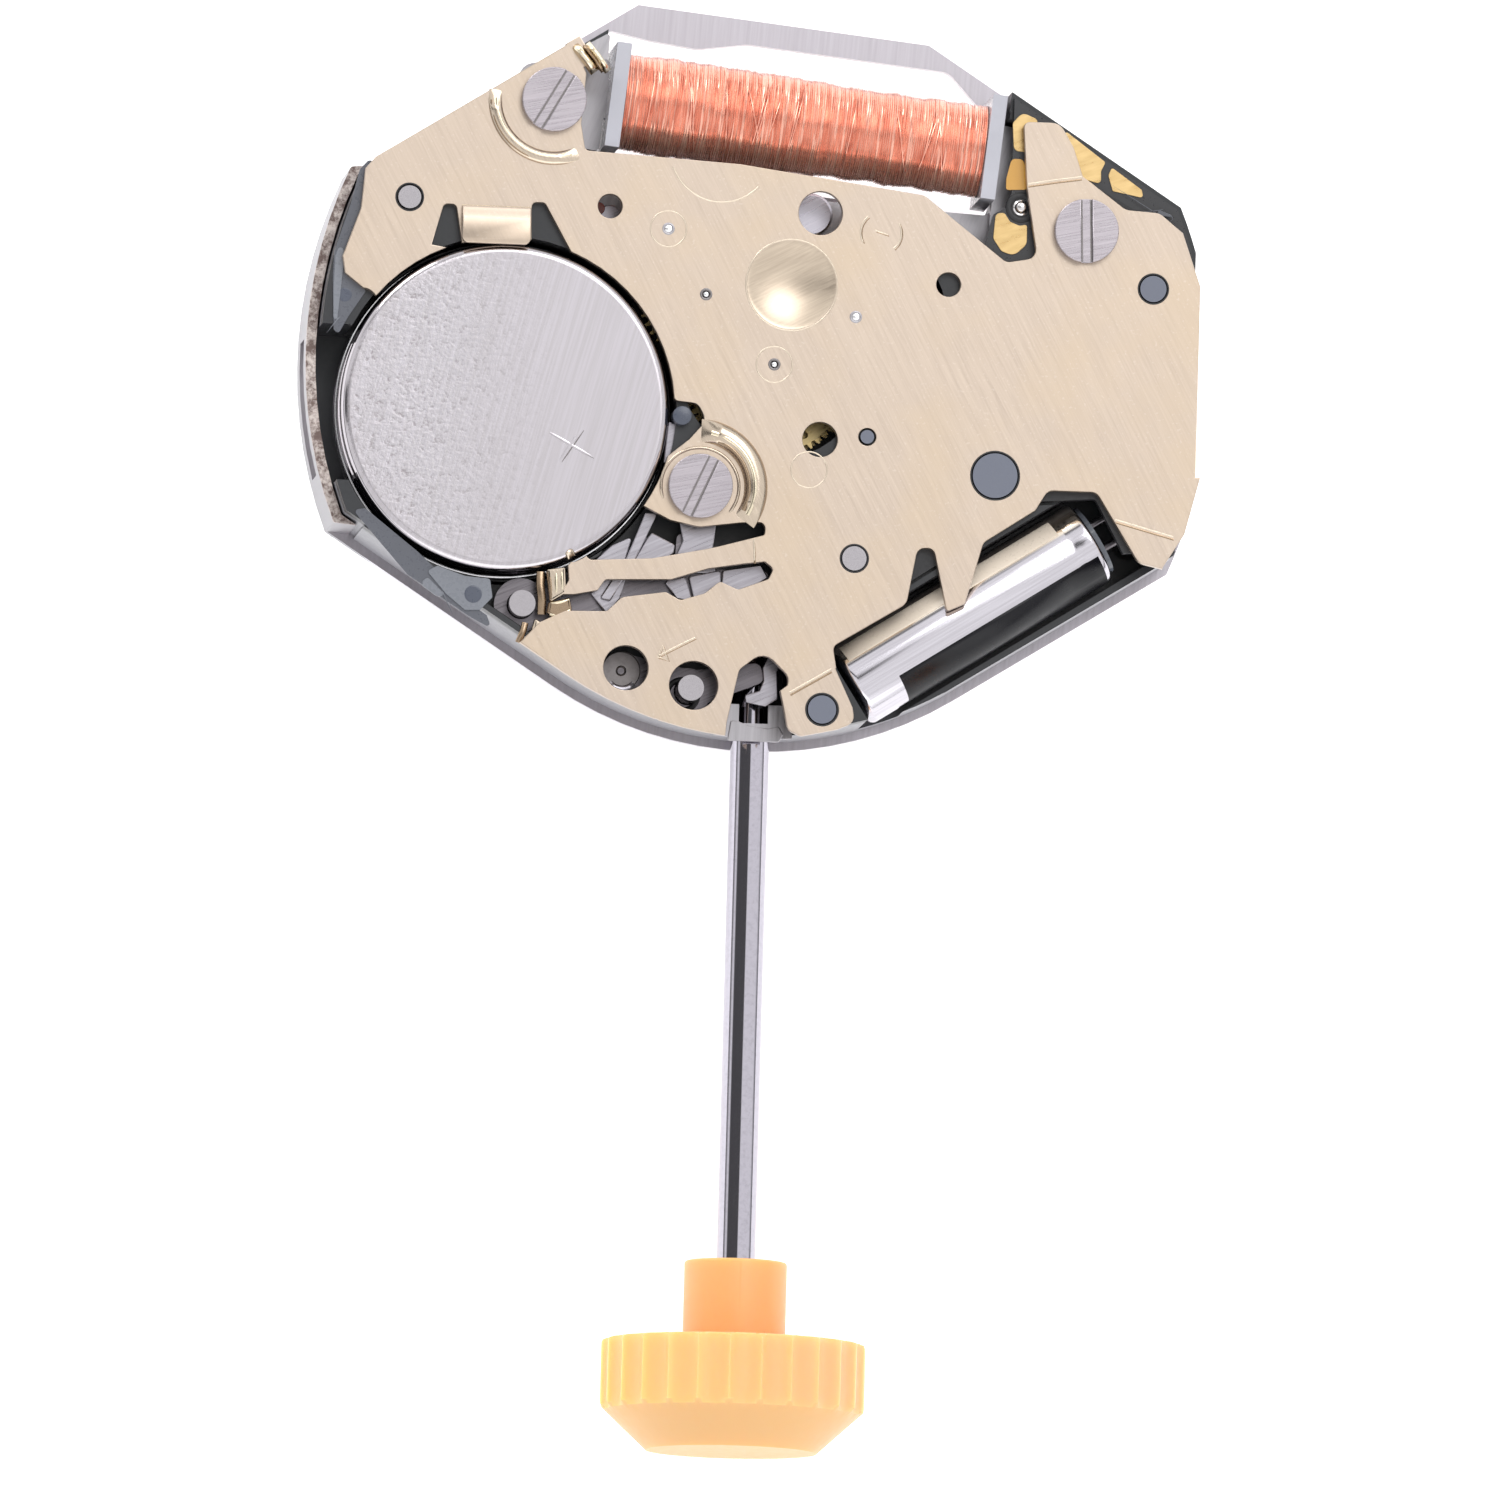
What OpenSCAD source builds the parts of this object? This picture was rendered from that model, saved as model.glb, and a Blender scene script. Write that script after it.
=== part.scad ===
// Quartz watch movement with its setting stem and knob.
// Millimetres. Z = 0 is the face that the dial lies on, +Z is the battery side,
// the hands turn about the Z axis and the stem leaves towards -Y.

/* [Movement] */
// Length along X, over the two round ends
movement_l = 18.4; // [17.6:0.1:19.6]
// Distance between the bottom arc and the long flats, over the centre
movement_w = 15.4; // [14.8:0.1:16.4]
// Height of the top face of the cover plate above the dial seat
cover_top = 2.95; // [2.85:0.05:3.3]
// Thickness of the sheet that the dial lies on
dial_plate_t = 0.25; // [0.2:0.01:0.3]
// Thickness of the cover plate
cover_t = 0.2; // [0.15:0.01:0.25]
// Wall of the turned-up edge on the left
side_wall_t = 0.2; // [0.15:0.01:0.3]
// Height of that turned-up edge above the dial seat
side_wall_h = 2.1; // [1.6:0.1:2.4]
// Width of the arch that guards the coil
guard_w = 0.5; // [0.35:0.05:0.65]

/* [Battery] */
// Diameter of the cell
battery_d = 6.8; // [6.4:0.1:7]
// Height of the cell
battery_h = 2.15; // [1.65:0.05:2.2]
// Centre of the cell along X
battery_x = -5.5; // [-5.56:0.02:-5.4]
// Centre of the cell along Y
battery_y = -1.08; // [-1.3:0.02:-0.9]

/* [Coil] */
// Length of the winding between its flanges
winding_l = 7.5; // [6.8:0.1:7.7]
// Largest diameter of the winding
winding_d = 2.1; // [1.8:0.05:2.15]
// Diameter of the winding at its ends
winding_end_d = 1.96; // [1.6:0.02:2]
// Height of the coil axis above the dial seat
coil_z = 1.7; // [1.65:0.05:1.75]
// Thickness of the bobbin flanges
flange_t = 0.3; // [0.2:0.02:0.34]
// Thickness of the core strip and of the stator sheet
core_t = 0.3; // [0.2:0.02:0.32]
// Width of the core strip inside the bobbin
core_w = 0.8; // [0.5:0.05:1]

/* [Crystal] */
// Diameter of the quartz can
crystal_d = 1.8; // [1.5:0.05:1.85]
// Length of the quartz can
crystal_l = 5.85; // [5.2:0.05:6]

/* [Train] */
// Distance from the centre to the third wheel, and of the slow mesh
third_r = 1.95; // [1.9:0.01:2]
// Distance from the centre to the fifth wheel
fifth_r = 2; // [1.96:0.01:2.06]
// Distance from the fifth wheel to the rotor
rotor_r = 1.55; // [1.5:0.01:1.6]
// Thickness of the train wheels
wheel_t = 0.12; // [0.08:0.01:0.14]
// Diameter of the rotor magnet
magnet_d = 1.1; // [0.9:0.05:1.2]
// Height of the rotor magnet
magnet_h = 0.45; // [0.35:0.05:0.5]
// Diameter of the stator hole round the magnet
stator_hole_d = 1.5; // [1.4:0.05:1.6]

/* [Motion work] */
// Distance from the centre to the minute wheel
minute_r = 2.16; // [2.1:0.01:2.2]
// Seat diameter for the hour hand
hour_seat_d = 1.2; // [1.1:0.05:1.4]
// Seat diameter for the minute hand
minute_seat_d = 0.7; // [0.66:0.02:0.8]
// Seat diameter for the second hand
second_seat_d = 0.2; // [0.16:0.01:0.22]
// How far the hour pipe stands out of the dial seat
hour_seat_h = 1; // [0.8:0.05:1.1]
// How far the cannon pinion stands out of the dial seat
minute_seat_h = 1.45; // [1.35:0.05:1.6]
// How far the second hand arbor stands out of the dial seat
second_seat_h = 1.9; // [1.8:0.05:2.2]

/* [Keyless work] */
// Diameter of the stem
stem_d = 0.8; // [0.7:0.02:0.84]
// Height of the stem axis above the dial seat
stem_z = 1.25; // [1.22:0.01:1.28]
// Place of the stem axis along X
stem_x = -0.13; // [-0.2:0.01:-0.05]
// How far the stem pulls out to set the hands
stem_travel = 0.8; // [0.6:0.05:0.85]
// Outer diameter of the clutch wheel
clutch_d = 1.2; // [1:0.05:1.3]
// Length of the clutch wheel
clutch_l = 0.85; // [0.75:0.05:0.9]

/* [Stem and knob] */
// Visible length of the stem from the movement to the knob
stem_out = 10.6; // [8:0.2:14]
// Diameter of the fluted knob
knob_d = 5.44; // [4.4:0.1:6]
// Length of the straight fluted part
knob_l = 1.55; // [1.2:0.05:2.4]
// Length of the chamfered end of the knob
knob_chamfer = 0.9; // [0.5:0.05:1.2]
// Diameter of the plain collar on the knob
collar_d = 2.1; // [1.6:0.05:2.6]
// Length of that collar
collar_l = 1.45; // [0.8:0.05:2]
// Number of flutes round the knob
flutes = 26; // [16:1:32]

/* [Screws and feet] */
// Head diameter of the slotted screws
screw_head_d = 1.32; // [1.2:0.02:1.5]
// Height of the screw heads
screw_head_h = 0.2; // [0.16:0.01:0.24]
// Width of the screwdriver slot
slot_w = 0.25; // [0.15:0.01:0.3]
// Shank diameter of the screws
screw_d = 0.6; // [0.5:0.02:0.66]
// Bore for a dial foot
dial_foot_d = 0.72; // [0.6:0.02:0.76]
// Depth of a dial foot bore from the dial seat
dial_foot_depth = 1.1; // [0.9:0.05:1.4]
// Distance of the dial feet from the centre
dial_foot_r = 8.23; // [8.1:0.01:8.3]

/* [Fits] */
// Radial clearance of an arbor that turns in a bore
run_fit = 0.02; // [0.015:0.005:0.03]
// Clearance between a fixed piece and its pocket
pocket_fit = 0.08; // [0.05:0.01:0.1]
// Clearance between pieces that pass each other
pass_fit = 0.05; // [0.03:0.01:0.06]

/* [Hidden] */
$fn = 48;

gold = "#ddc9a6";
silver = "#c9c6cc";
steel = "#a9a8b0";
brass = "#d8bb6e";
plastic = "#2c3036";
clear_plastic = "#b9c0cc";
copper = "#d8876a";

// Outline of the movement
half_w = movement_w / 2;
end_x = -0.15;
end_r = movement_l / 2 + 0.2;
end_flat = end_r + end_x - 0.4;
flat_angle = 57.5;
flat_top_left = half_w + 0.22;
guard_top = half_w - 0.37;
coil_angle = -5.75;
body_inset = 0.18;
rim_wall = 0.12;
cover_inset = 0.12;

// Heights
motion_top = 0.95;
train_floor = 1.2;
cover_bottom = cover_top - cover_t;
board_t = 0.15;
film_t = 0.1;
chip_xy = [5.2, -0.9];
chip_size = [1.7, 1.9, 0.55];
board_z = cover_bottom - film_t - board_t;
lever_floor = stem_z + stem_d / 2 + 0.1;
spring_t = 0.12;

// Dimple of the cover plate
dimple_r = 0.9;
dimple_depth = 0.2;
dimple_xy = [0.31, 1.65];

// Battery
battery_r = battery_d / 2;
battery_z = cover_top - battery_h;
liner_t = 0.06;
well_r = battery_r + liner_t + pocket_fit;
contact_t = 0.1;
well_z = battery_z - contact_t - 0.1;

// Coil
coil_mid = [0.545, 5.07];
coil_half = winding_l / 2 + flange_t;
coil_pocket_v = winding_d / 2 + 0.14;
coil_room_v = winding_d / 2 + 0.55;
core_z = coil_z - core_t / 2;
stator_z = core_z - core_t;
stator_end = [4.78, 3.45];
left_screw = [-4.68, 5.27];
// Place of the left screw along the coil axis
screw_u = (left_screw[0] - coil_mid[0]) * cos(coil_angle) + (left_screw[1] - coil_mid[1]) * sin(coil_angle);

// Crystal
crystal_mid = [4.25, -4.88];
crystal_angle = 33;
crystal_z = cover_bottom - crystal_d / 2 - 0.03;
crystal_room = crystal_d / 2 + 0.1;
lead_r = 0.08;

// Train arbors
third_angle = 32.3;
fifth_angle = 136;
rotor_angle = 121.4;
third_xy = third_r * [cos(third_angle), sin(third_angle)];
fifth_xy = fifth_r * [cos(fifth_angle), sin(fifth_angle)];
rotor_xy = fifth_xy + rotor_r * [cos(rotor_angle), sin(rotor_angle)];
rotor_teeth = 10;
fifth_teeth = 40;
pinion_teeth = 8;
wheel_teeth = 60;
centre_teeth = 64;
rotor_mod = 2 * rotor_r / (rotor_teeth + fifth_teeth);
fifth_mod = 2 * fifth_r / (pinion_teeth + wheel_teeth);
third_mod = 2 * third_r / (pinion_teeth + wheel_teeth);
centre_mod = 2 * third_r / (pinion_teeth + centre_teeth);
arbor_r = 0.08;
pivot_r = 0.055;
centre_wheel_z = train_floor + 0.05;
second_wheel_z = train_floor + 0.4;
fifth_wheel_z = train_floor + 0.8;
third_wheel_z = train_floor + 1.1;
train_top = cover_bottom - 0.08;

// Motion work
cannon_teeth = 12;
minute_teeth = 36;
hour_teeth = 40;
minute_pinion_teeth = 10;
setting_teeth = 14;
minute_mod = 2 * minute_r / (cannon_teeth + minute_teeth);
hour_mod = 2 * minute_r / (hour_teeth + minute_pinion_teeth);
minute_angle = 290;
minute_xy = minute_r * [cos(minute_angle), sin(minute_angle)];
setting_r = minute_mod * (minute_teeth + setting_teeth) / 2;
setting_dx = stem_x - minute_xy[0];
setting_xy = [stem_x, minute_xy[1] - sqrt(setting_r * setting_r - setting_dx * setting_dx)];
setting_angle = atan2(setting_xy[1] - minute_xy[1], setting_xy[0] - minute_xy[0]);
hour_wheel_z = dial_plate_t + 0.04;
hour_wheel_t = 0.2;
minute_wheel_z = hour_wheel_z + hour_wheel_t + 0.12;
minute_wheel_t = 0.22;
cannon_r = minute_seat_d / 2;
cannon_bore_r = 0.17;
seat_gap = 0.02;
post_r = 0.18;

// Keyless work
stem_r = stem_d / 2;
square_half = 0.24;
pilot_r = 0.18;
clutch_r = clutch_d / 2;
clutch_front = setting_xy[1] - minute_mod * (setting_teeth / 2 + 1) - 0.12;
clutch_back = clutch_front - clutch_l;
clutch_groove_r = 0.38;
groove_r = 0.2;
groove_w = 0.36;
lever_pivot = [-1.52, -6.7];
lever_reach = stem_x - lever_pivot[0];
lever_t = 0.18;
lever_z = lever_floor + spring_t + 0.04;
lever_half = stem_travel / lever_reach * 90 / PI;
post_y = lever_pivot[1] + lever_reach * sin(lever_half);
lever_post_r = 0.12;
yoke_pivot = [1.0, -5.15];
yoke_tip = 0.74;
stem_shoulder = clutch_back - 0.1;
stem_back = setting_xy[1] - post_r - 0.07;
pilot_end = stem_back + stem_travel + 0.4;
bottom_y = -half_w;
post_low_y = post_y - stem_travel - lever_post_r - 0.06;
knob_top = bottom_y - stem_out;
knob_flutes_top = knob_top - collar_l;
knob_end = knob_flutes_top - knob_l - knob_chamfer;

// Screws, pins and feet
screw_seat = cover_top;
land_xy = [-1.46, -2.57];
right_screw = [6.34, 2.98];
SCREWS = [
    [left_screw[0], left_screw[1], 60],
    [right_screw[0], right_screw[1], 92],
    [land_xy[0], land_xy[1], 66]
];
bush_r = 0.5;
reset_pivot = [-5.02, -5.08];
lever_pin_r = 0.265;
reset_pin_r = 0.27;
reset_head_r = 0.55;
yoke_pin_r = 0.18;
foot_angle = 157.4;
FEET = [foot_angle, foot_angle + 180];

// Plastic pegs that reach up through the cover plate: x, y, radius
PEGS = [
    [4.6, -2.12, 0.46],
    [1.95, -1.42, 0.14],
    [7.76, 1.85, 0.27]
];
foot_peg = [1.17, bottom_y + 0.64, 0.29];
// Steel pins that show in the cover plate: x, y, radius
PINS = [
    [-7.58, 3.16, 0.235],
    [1.75, -3.93, 0.25]
];

// The pins start above the bores of the dial feet
pin_low = dial_foot_depth + 0.6;

// Unit vector along v
function unit(v) = v / norm(v);

// Arc that replaces the corner b, whose third number is its radius
function corner(a, b, c, n) =
    let (
        p = [b[0], b[1]],
        u = unit([a[0], a[1]] - p),
        v = unit([c[0], c[1]] - p),
        half = acos(max(-1, min(1, u * v))) / 2,
        back = b[2] / tan(half),
        mid = p + unit(u + v) * b[2] / sin(half),
        s = p + u * back - mid,
        e = p + v * back - mid,
        a0 = atan2(s[1], s[0]),
        turn = (atan2(e[1], e[0]) - a0 + 540) % 360 - 180
    )
    b[2] == 0 ? [p]
    : [for (i = [0 : n]) mid + b[2] * [cos(a0 + turn * i / n), sin(a0 + turn * i / n)]];

// Polygon points from corners written as [x, y, radius]
function rounded(pts, n = 4) =
    let (k = len(pts))
    [for (i = [0 : k - 1]) each corner(pts[(i + k - 1) % k], pts[i], pts[(i + 1) % k], n)];

// Turn of the driven gear that puts a gap where the driver has a tooth
function mesh_turn(angle, turn, teeth, driven_teeth) =
    angle + 180 + ((angle - turn) * teeth / 360 + 0.5) * 360 / driven_teeth;

// Flat gear outline with straight-flanked teeth and a round bore
module gear_2d(teeth, mod, turn, bore_r) {
    pitch_r = teeth * mod / 2;
    step = 360 / teeth;
    root = pitch_r - 1.15 * mod;
    tip = pitch_r + 0.9 * mod;
    difference() {
        polygon([
            for (i = [0 : teeth - 1], k = [-0.29, -0.1, 0.1, 0.29])
                let (a = turn + (i + k) * step, r = abs(k) > 0.2 ? root : tip)
                r * [cos(a), sin(a)]
        ]);
        circle(r = bore_r);
    }
}

// Train wheel with spokes between hub and rim
module wheel(teeth, mod, turn, bore_r, t, spokes, hub) {
    rim = teeth * mod / 2 - 2.6 * mod;
    difference() {
        linear_extrude(t) gear_2d(teeth, mod, turn, bore_r);
        if (spokes > 0)
            for (i = [0 : spokes - 1])
                translate([0, 0, -t])
                    linear_extrude(3 * t)
                        rotate(turn + i * 360 / spokes)
                            polygon(rounded([
                                [hub * cos(12), hub * 0.32, 0.05],
                                [rim * cos(14), rim * sin(14), 0.08],
                                [rim * 1.0 * cos(45), rim * 1.0 * sin(45), 0],
                                [rim * cos(360 / spokes - 14), rim * sin(360 / spokes - 14), 0.08],
                                [hub * 1.05 * cos(180 / spokes), hub * 1.05 * sin(180 / spokes), 0]
                            ]));
    }
}

module at(xy, z = 0) {
    translate([xy[0], xy[1], z]) children();
}

// Straight side of the outline at a distance from the centre
module flat_side(angle, distance) {
    rotate(angle) translate([distance - 60, -40]) square([60, 80]);
}

// Outline of the movement, moved inwards by inset
module movement_2d(inset = 0) {
    intersection() {
        translate([end_x, 0]) circle(r = end_r - inset, $fn = 128);
        flat_side(0, end_flat - inset);
        flat_side(flat_angle, half_w - inset);
        flat_side(180 - flat_angle, flat_top_left - inset);
        flat_side(180 + flat_angle, half_w - inset);
        flat_side(-flat_angle, half_w - inset);
        flat_side(90 + coil_angle, guard_top - inset);
        union() {
            circle(r = half_w - inset, $fn = 128);
            translate([-20, -half_w * sin(flat_angle)]) square([40, 40]);
        }
    }
}

module at_coil(z = 0) {
    translate([coil_mid[0], coil_mid[1], z]) rotate([0, 0, coil_angle]) children();
}

module at_crystal(z = 0) {
    translate([crystal_mid[0], crystal_mid[1], z]) rotate([0, 0, crystal_angle]) children();
}

// Puts a shape made along +Z onto the stem axis, z = 0 at stem_back, +Z outwards
module at_stem(y) {
    translate([stem_x, y, stem_z]) rotate([90, 0, 0]) children();
}

module at_screws(z = 0) {
    for (s = SCREWS) translate([s[0], s[1], z]) children();
}

module at_feet(z = 0) {
    for (a = FEET) translate([dial_foot_r * cos(a), dial_foot_r * sin(a), z]) children();
}

// Gap between the coil guard and the coil
module coil_gap_2d() {
    polygon(rounded([
        [-coil_half - 0.1, -coil_pocket_v, 0.2],
        [coil_half + 0.1, -coil_pocket_v, 0.2],
        [coil_half + 0.1, 0.7, 0.3],
        [coil_half - 1.05, guard_v(0), 0.4],
        [-1.2, guard_v(0), 0.8],
        [-2.2, guard_v(0.24), 0.8],
        [-3.2, guard_v(0.2), 0.3],
        [-coil_half - 0.1, guard_v(0.1), 0.15]
    ]));
}

// Inner edge of the guard in the frame of the coil
function guard_v(extra) =
    guard_top - guard_w - extra - (coil_mid[0] * sin(-coil_angle) + coil_mid[1] * cos(coil_angle));

// Stretch of the outline that the turned-up edge takes
module side_wall_span_2d(grow = 0) {
    polygon([
        [-12, -3.2 - grow],
        [-8.2, -3.55 - grow],
        [-7.6, 0],
        [-8.2, 3.9 + grow],
        [-12, 3.5 + grow]
    ]);
}

// Outline of the moulded plate, clear of the turned-up edge
module body_2d() {
    difference() {
        movement_2d(body_inset);
        difference() {
            side_wall_span_2d(pocket_fit);
            movement_2d(side_wall_t + pass_fit);
        }
    }
}

// Metal sheet under the dial, with the coil guard and the turned-up left edge
module dial_plate() {
    color(silver) difference() {
        union() {
            linear_extrude(dial_plate_t) movement_2d();
            linear_extrude(side_wall_h) difference() {
                intersection() {
                    movement_2d();
                    side_wall_span_2d();
                }
                movement_2d(side_wall_t);
            }
        }
        translate([0, 0, -1]) linear_extrude(5) at_coil() coil_gap_2d();
        // Relief for the cell
        at([battery_x, battery_y], dial_plate_t) cylinder(r = battery_r + pass_fit, h = 4, $fn = 96);
        // Window in the turned-up edge, beside the cell
        translate([-12, battery_y - 1.4, dial_plate_t + 0.35])
            cube([4, 2.8, 0.9]);
        translate([0, 0, -1]) cylinder(r = hour_seat_d / 2 + 0.12, h = 3);
        at_feet(-1) cylinder(d = dial_foot_d, h = 3);
        at_screws(-1) cylinder(r = 0.35, h = 3);
    }
}

// Wheel pockets open to the dial side
module motion_pockets() {
    depth = motion_top - dial_plate_t;
    translate([0, 0, dial_plate_t - 1]) {
        cylinder(r = hour_mod * (hour_teeth / 2 + 1) + 0.15, h = depth + 1);
        at(minute_xy) cylinder(r = minute_mod * (minute_teeth / 2 + 1) + 0.12, h = depth + 1);
        at(setting_xy) cylinder(r = minute_mod * (setting_teeth / 2 + 1) + 0.1, h = depth + 1);
    }
}

// Wheel pockets open to the battery side
module train_pockets() {
    translate([0, 0, train_floor]) {
        cylinder(r = fifth_mod * (wheel_teeth / 2 + 1) + 0.12, h = 3);
        at(third_xy) cylinder(r = third_mod * (wheel_teeth / 2 + 1) + 0.12, h = 3);
        at(fifth_xy) cylinder(r = rotor_mod * (fifth_teeth / 2 + 1) + 0.12, h = 3);
        at(rotor_xy) cylinder(r = stator_hole_d / 2 + 0.5, h = 3);
        at(rotor_xy, -0.09) cylinder(r = magnet_d / 2 + 0.1, h = 3);
        at([-0.1, 2.1]) cylinder(r = 0.5, h = 3);
        at(dimple_xy, cover_bottom - train_floor - dimple_depth - 0.05) cylinder(r = dimple_r + 0.05, h = 3);
    }
}

// Sheet of the stator, from the left screw round the rotor to the right core lug
module stator_2d(grow = 0) {
    at(left_screw) circle(r = 0.75 + grow);
    polygon(rounded([
        [left_screw[0] - 0.6 - grow, left_screw[1] - 0.45, 0.3],
        [rotor_xy[0] - 1.0 - grow, rotor_xy[1] - 0.1, 0.5],
        [rotor_xy[0] - 0.5, rotor_xy[1] - 1.05 - grow, 0.4],
        [rotor_xy[0] + 0.7 + grow, rotor_xy[1] - 0.75 - grow, 0.3],
        [rotor_xy[0] + 1.1 + grow, rotor_xy[1] - 0.25 - grow, 0.3],
        [0.9, 2.45 - grow, 0.4],
        [stator_end[0] + 0.3 + grow, stator_end[1] - 0.6 - grow, 0.3],
        [stator_end[0] + 0.35 + grow, stator_end[1] + 0.4 + grow, 0.2],
        [stator_end[0] - 0.12 - grow, stator_end[1] + 0.4 + grow, 0.15],
        [stator_end[0] - 0.32 - grow, stator_end[1] - 0.05 + grow, 0.15],
        [0.9, 3.58 + grow, 0.4],
        [rotor_xy[0] + 0.9, rotor_xy[1] + 1.05 + grow, 0.4],
        [-3.62 + grow, 4.2 + grow, 0.2],
        [left_screw[0] + 0.72 + grow, left_screw[1] - 0.3, 0.3]
    ]));
}

// Area kept clear over the keyless levers
module lever_room_2d() {
    intersection() {
        movement_2d(body_inset + rim_wall);
        polygon(rounded([
            [-6.0, -5.6, 0.3],
            [-4.6, -6.6, 0.3],
            [-2.6, -7.6, 0.4],
            [0.6, -7.6, 0.2],
            [0.6, -5.95, 0.2],
            [1.05, -5.8, 0.1],
            [1.6, -5.2, 0.3],
            [1.2, -4.6, 0.3],
            [0.6, -4.3, 0.3],
            [0.35, -3.2, 0.2],
            [-1.0, -3.05, 0.2],
            [-2.9, -3.05, 0.4],
            [-3.5, -4.1, 0.3],
            [-5.7, -4.5, 0.3]
        ]));
    }
}

// Opening for stem and clutch, seen from the battery side
module stem_window_2d() {
    polygon(rounded([
        [stem_x - clutch_r - 0.12, clutch_front + 0.15, 0.1],
        [stem_x - clutch_r - 0.12, post_low_y - 0.06, 0.15],
        [stem_x + clutch_r + 0.12, post_low_y - 0.06, 0.15],
        [stem_x + clutch_r + 0.12, clutch_front + 0.15, 0.1]
    ]));
}

// Moulded plate that carries everything
module main_plate() {
    color(plastic) union() {
        difference() {
            translate([0, 0, dial_plate_t]) linear_extrude(cover_bottom - dial_plate_t) body_2d();
            motion_pockets();
            train_pockets();
            at([battery_x, battery_y], well_z) cylinder(r = well_r, h = 4, $fn = 96);
            // Mouth beside the cell on the left
            translate([-12, battery_y - 1.6, dial_plate_t + 0.2]) cube([4, 3.2, 4]);
            // Seat of the board and pocket of the chip under it
            translate([0, 0, board_z]) linear_extrude(4) board_2d(pocket_fit);
            at(chip_xy, board_z - chip_size[2]) translate([-pocket_fit, -pocket_fit, -pocket_fit])
                cube([chip_size[0] + 2 * pocket_fit, chip_size[1] + 2 * pocket_fit, 4]);
            // Coil pocket, open at the top edge
            translate([0, 0, -1]) linear_extrude(8) at_coil()
                translate([-coil_half - 0.1, -coil_room_v]) square([2 * coil_half + 0.2, 8]);
            translate([0, 0, core_z - core_t]) linear_extrude(8) at_coil()
                translate([-coil_half - 1.2, 0.8]) square([2, 4]);
            translate([0, 0, stator_z]) linear_extrude(4) {
                stator_2d(pocket_fit);
                at_coil() core_2d(pocket_fit);
            }
            // Crystal pocket with its low outer wall
            translate([0, 0, crystal_z - crystal_room]) linear_extrude(4) at_crystal()
                translate([-crystal_l / 2 - 0.12, -crystal_room]) square([crystal_l + 1.5, 2 * crystal_room]);
            translate([0, 0, crystal_z - 0.1]) linear_extrude(4) at_crystal()
                translate([-crystal_l / 2 - 0.12, -4]) square([crystal_l + 1.0, 3.6]);
            // Rooms of the keyless work
            translate([0, 0, lever_floor]) linear_extrude(4) {
                lever_room_2d();
                stem_cover_2d(pocket_fit);
            }
            translate([0, 0, stem_z - clutch_r - 0.1]) linear_extrude(4) stem_window_2d();
            at_stem(pilot_end + 0.1) cylinder(r = pilot_r + run_fit, h = pilot_end - stem_back + 0.4);
            at_stem(stem_back + 0.05) cylinder(r = square_half * sqrt(2) + pass_fit, h = 1.3);
            at_stem(bottom_y + 0.7) cylinder(r = stem_r + run_fit, h = 3);
            // Bores
            translate([0, 0, -1]) cylinder(r = cannon_r + run_fit, h = 4);
            for (p = [third_xy, fifth_xy, rotor_xy]) at(p) cylinder(r = pivot_r + run_fit, h = 4);
            at_feet(-1) cylinder(d = dial_foot_d, h = 1 + dial_foot_depth);
            at_screws(1) cylinder(r = bush_r, h = 4);
            at(lever_pivot, 1) cylinder(r = lever_pin_r, h = 4);
            at(reset_pivot, 1) cylinder(r = reset_pin_r, h = 4);
            at(yoke_pivot, 1) cylinder(r = yoke_pin_r, h = 4);
            for (p = PINS) translate([p[0], p[1], pin_low]) cylinder(r = p[2], h = 4);
        }
        // Posts of the minute and setting wheels
        for (p = [minute_xy, setting_xy])
            at(p, dial_plate_t) cylinder(r = post_r, h = motion_top - dial_plate_t + 0.05);
        // Pegs through the cover plate
        for (p = concat(PEGS, [foot_peg]))
            translate([p[0], p[1], board_z - 0.3]) cylinder(r = p[2], h = cover_top + 0.01 - board_z + 0.3);
    }
}

// Outline of that plate, with a slot for the post of the setting lever
module stem_cover_2d(grow = 0) {
    difference() {
        intersection() {
            movement_2d(0.1 - grow);
            translate([stem_x - 0.8 - grow, bottom_y - 1]) square([1.6 + 2 * grow, 1.8 + grow]);
        }
        if (grow == 0)
            translate([stem_x - 0.3, post_low_y]) square([0.6, 2]);
    }
}

// Small steel plate over the stem where it enters
module stem_cover() {
    color(silver) translate([0, 0, lever_floor]) linear_extrude(spring_t) stem_cover_2d();
}

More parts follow.
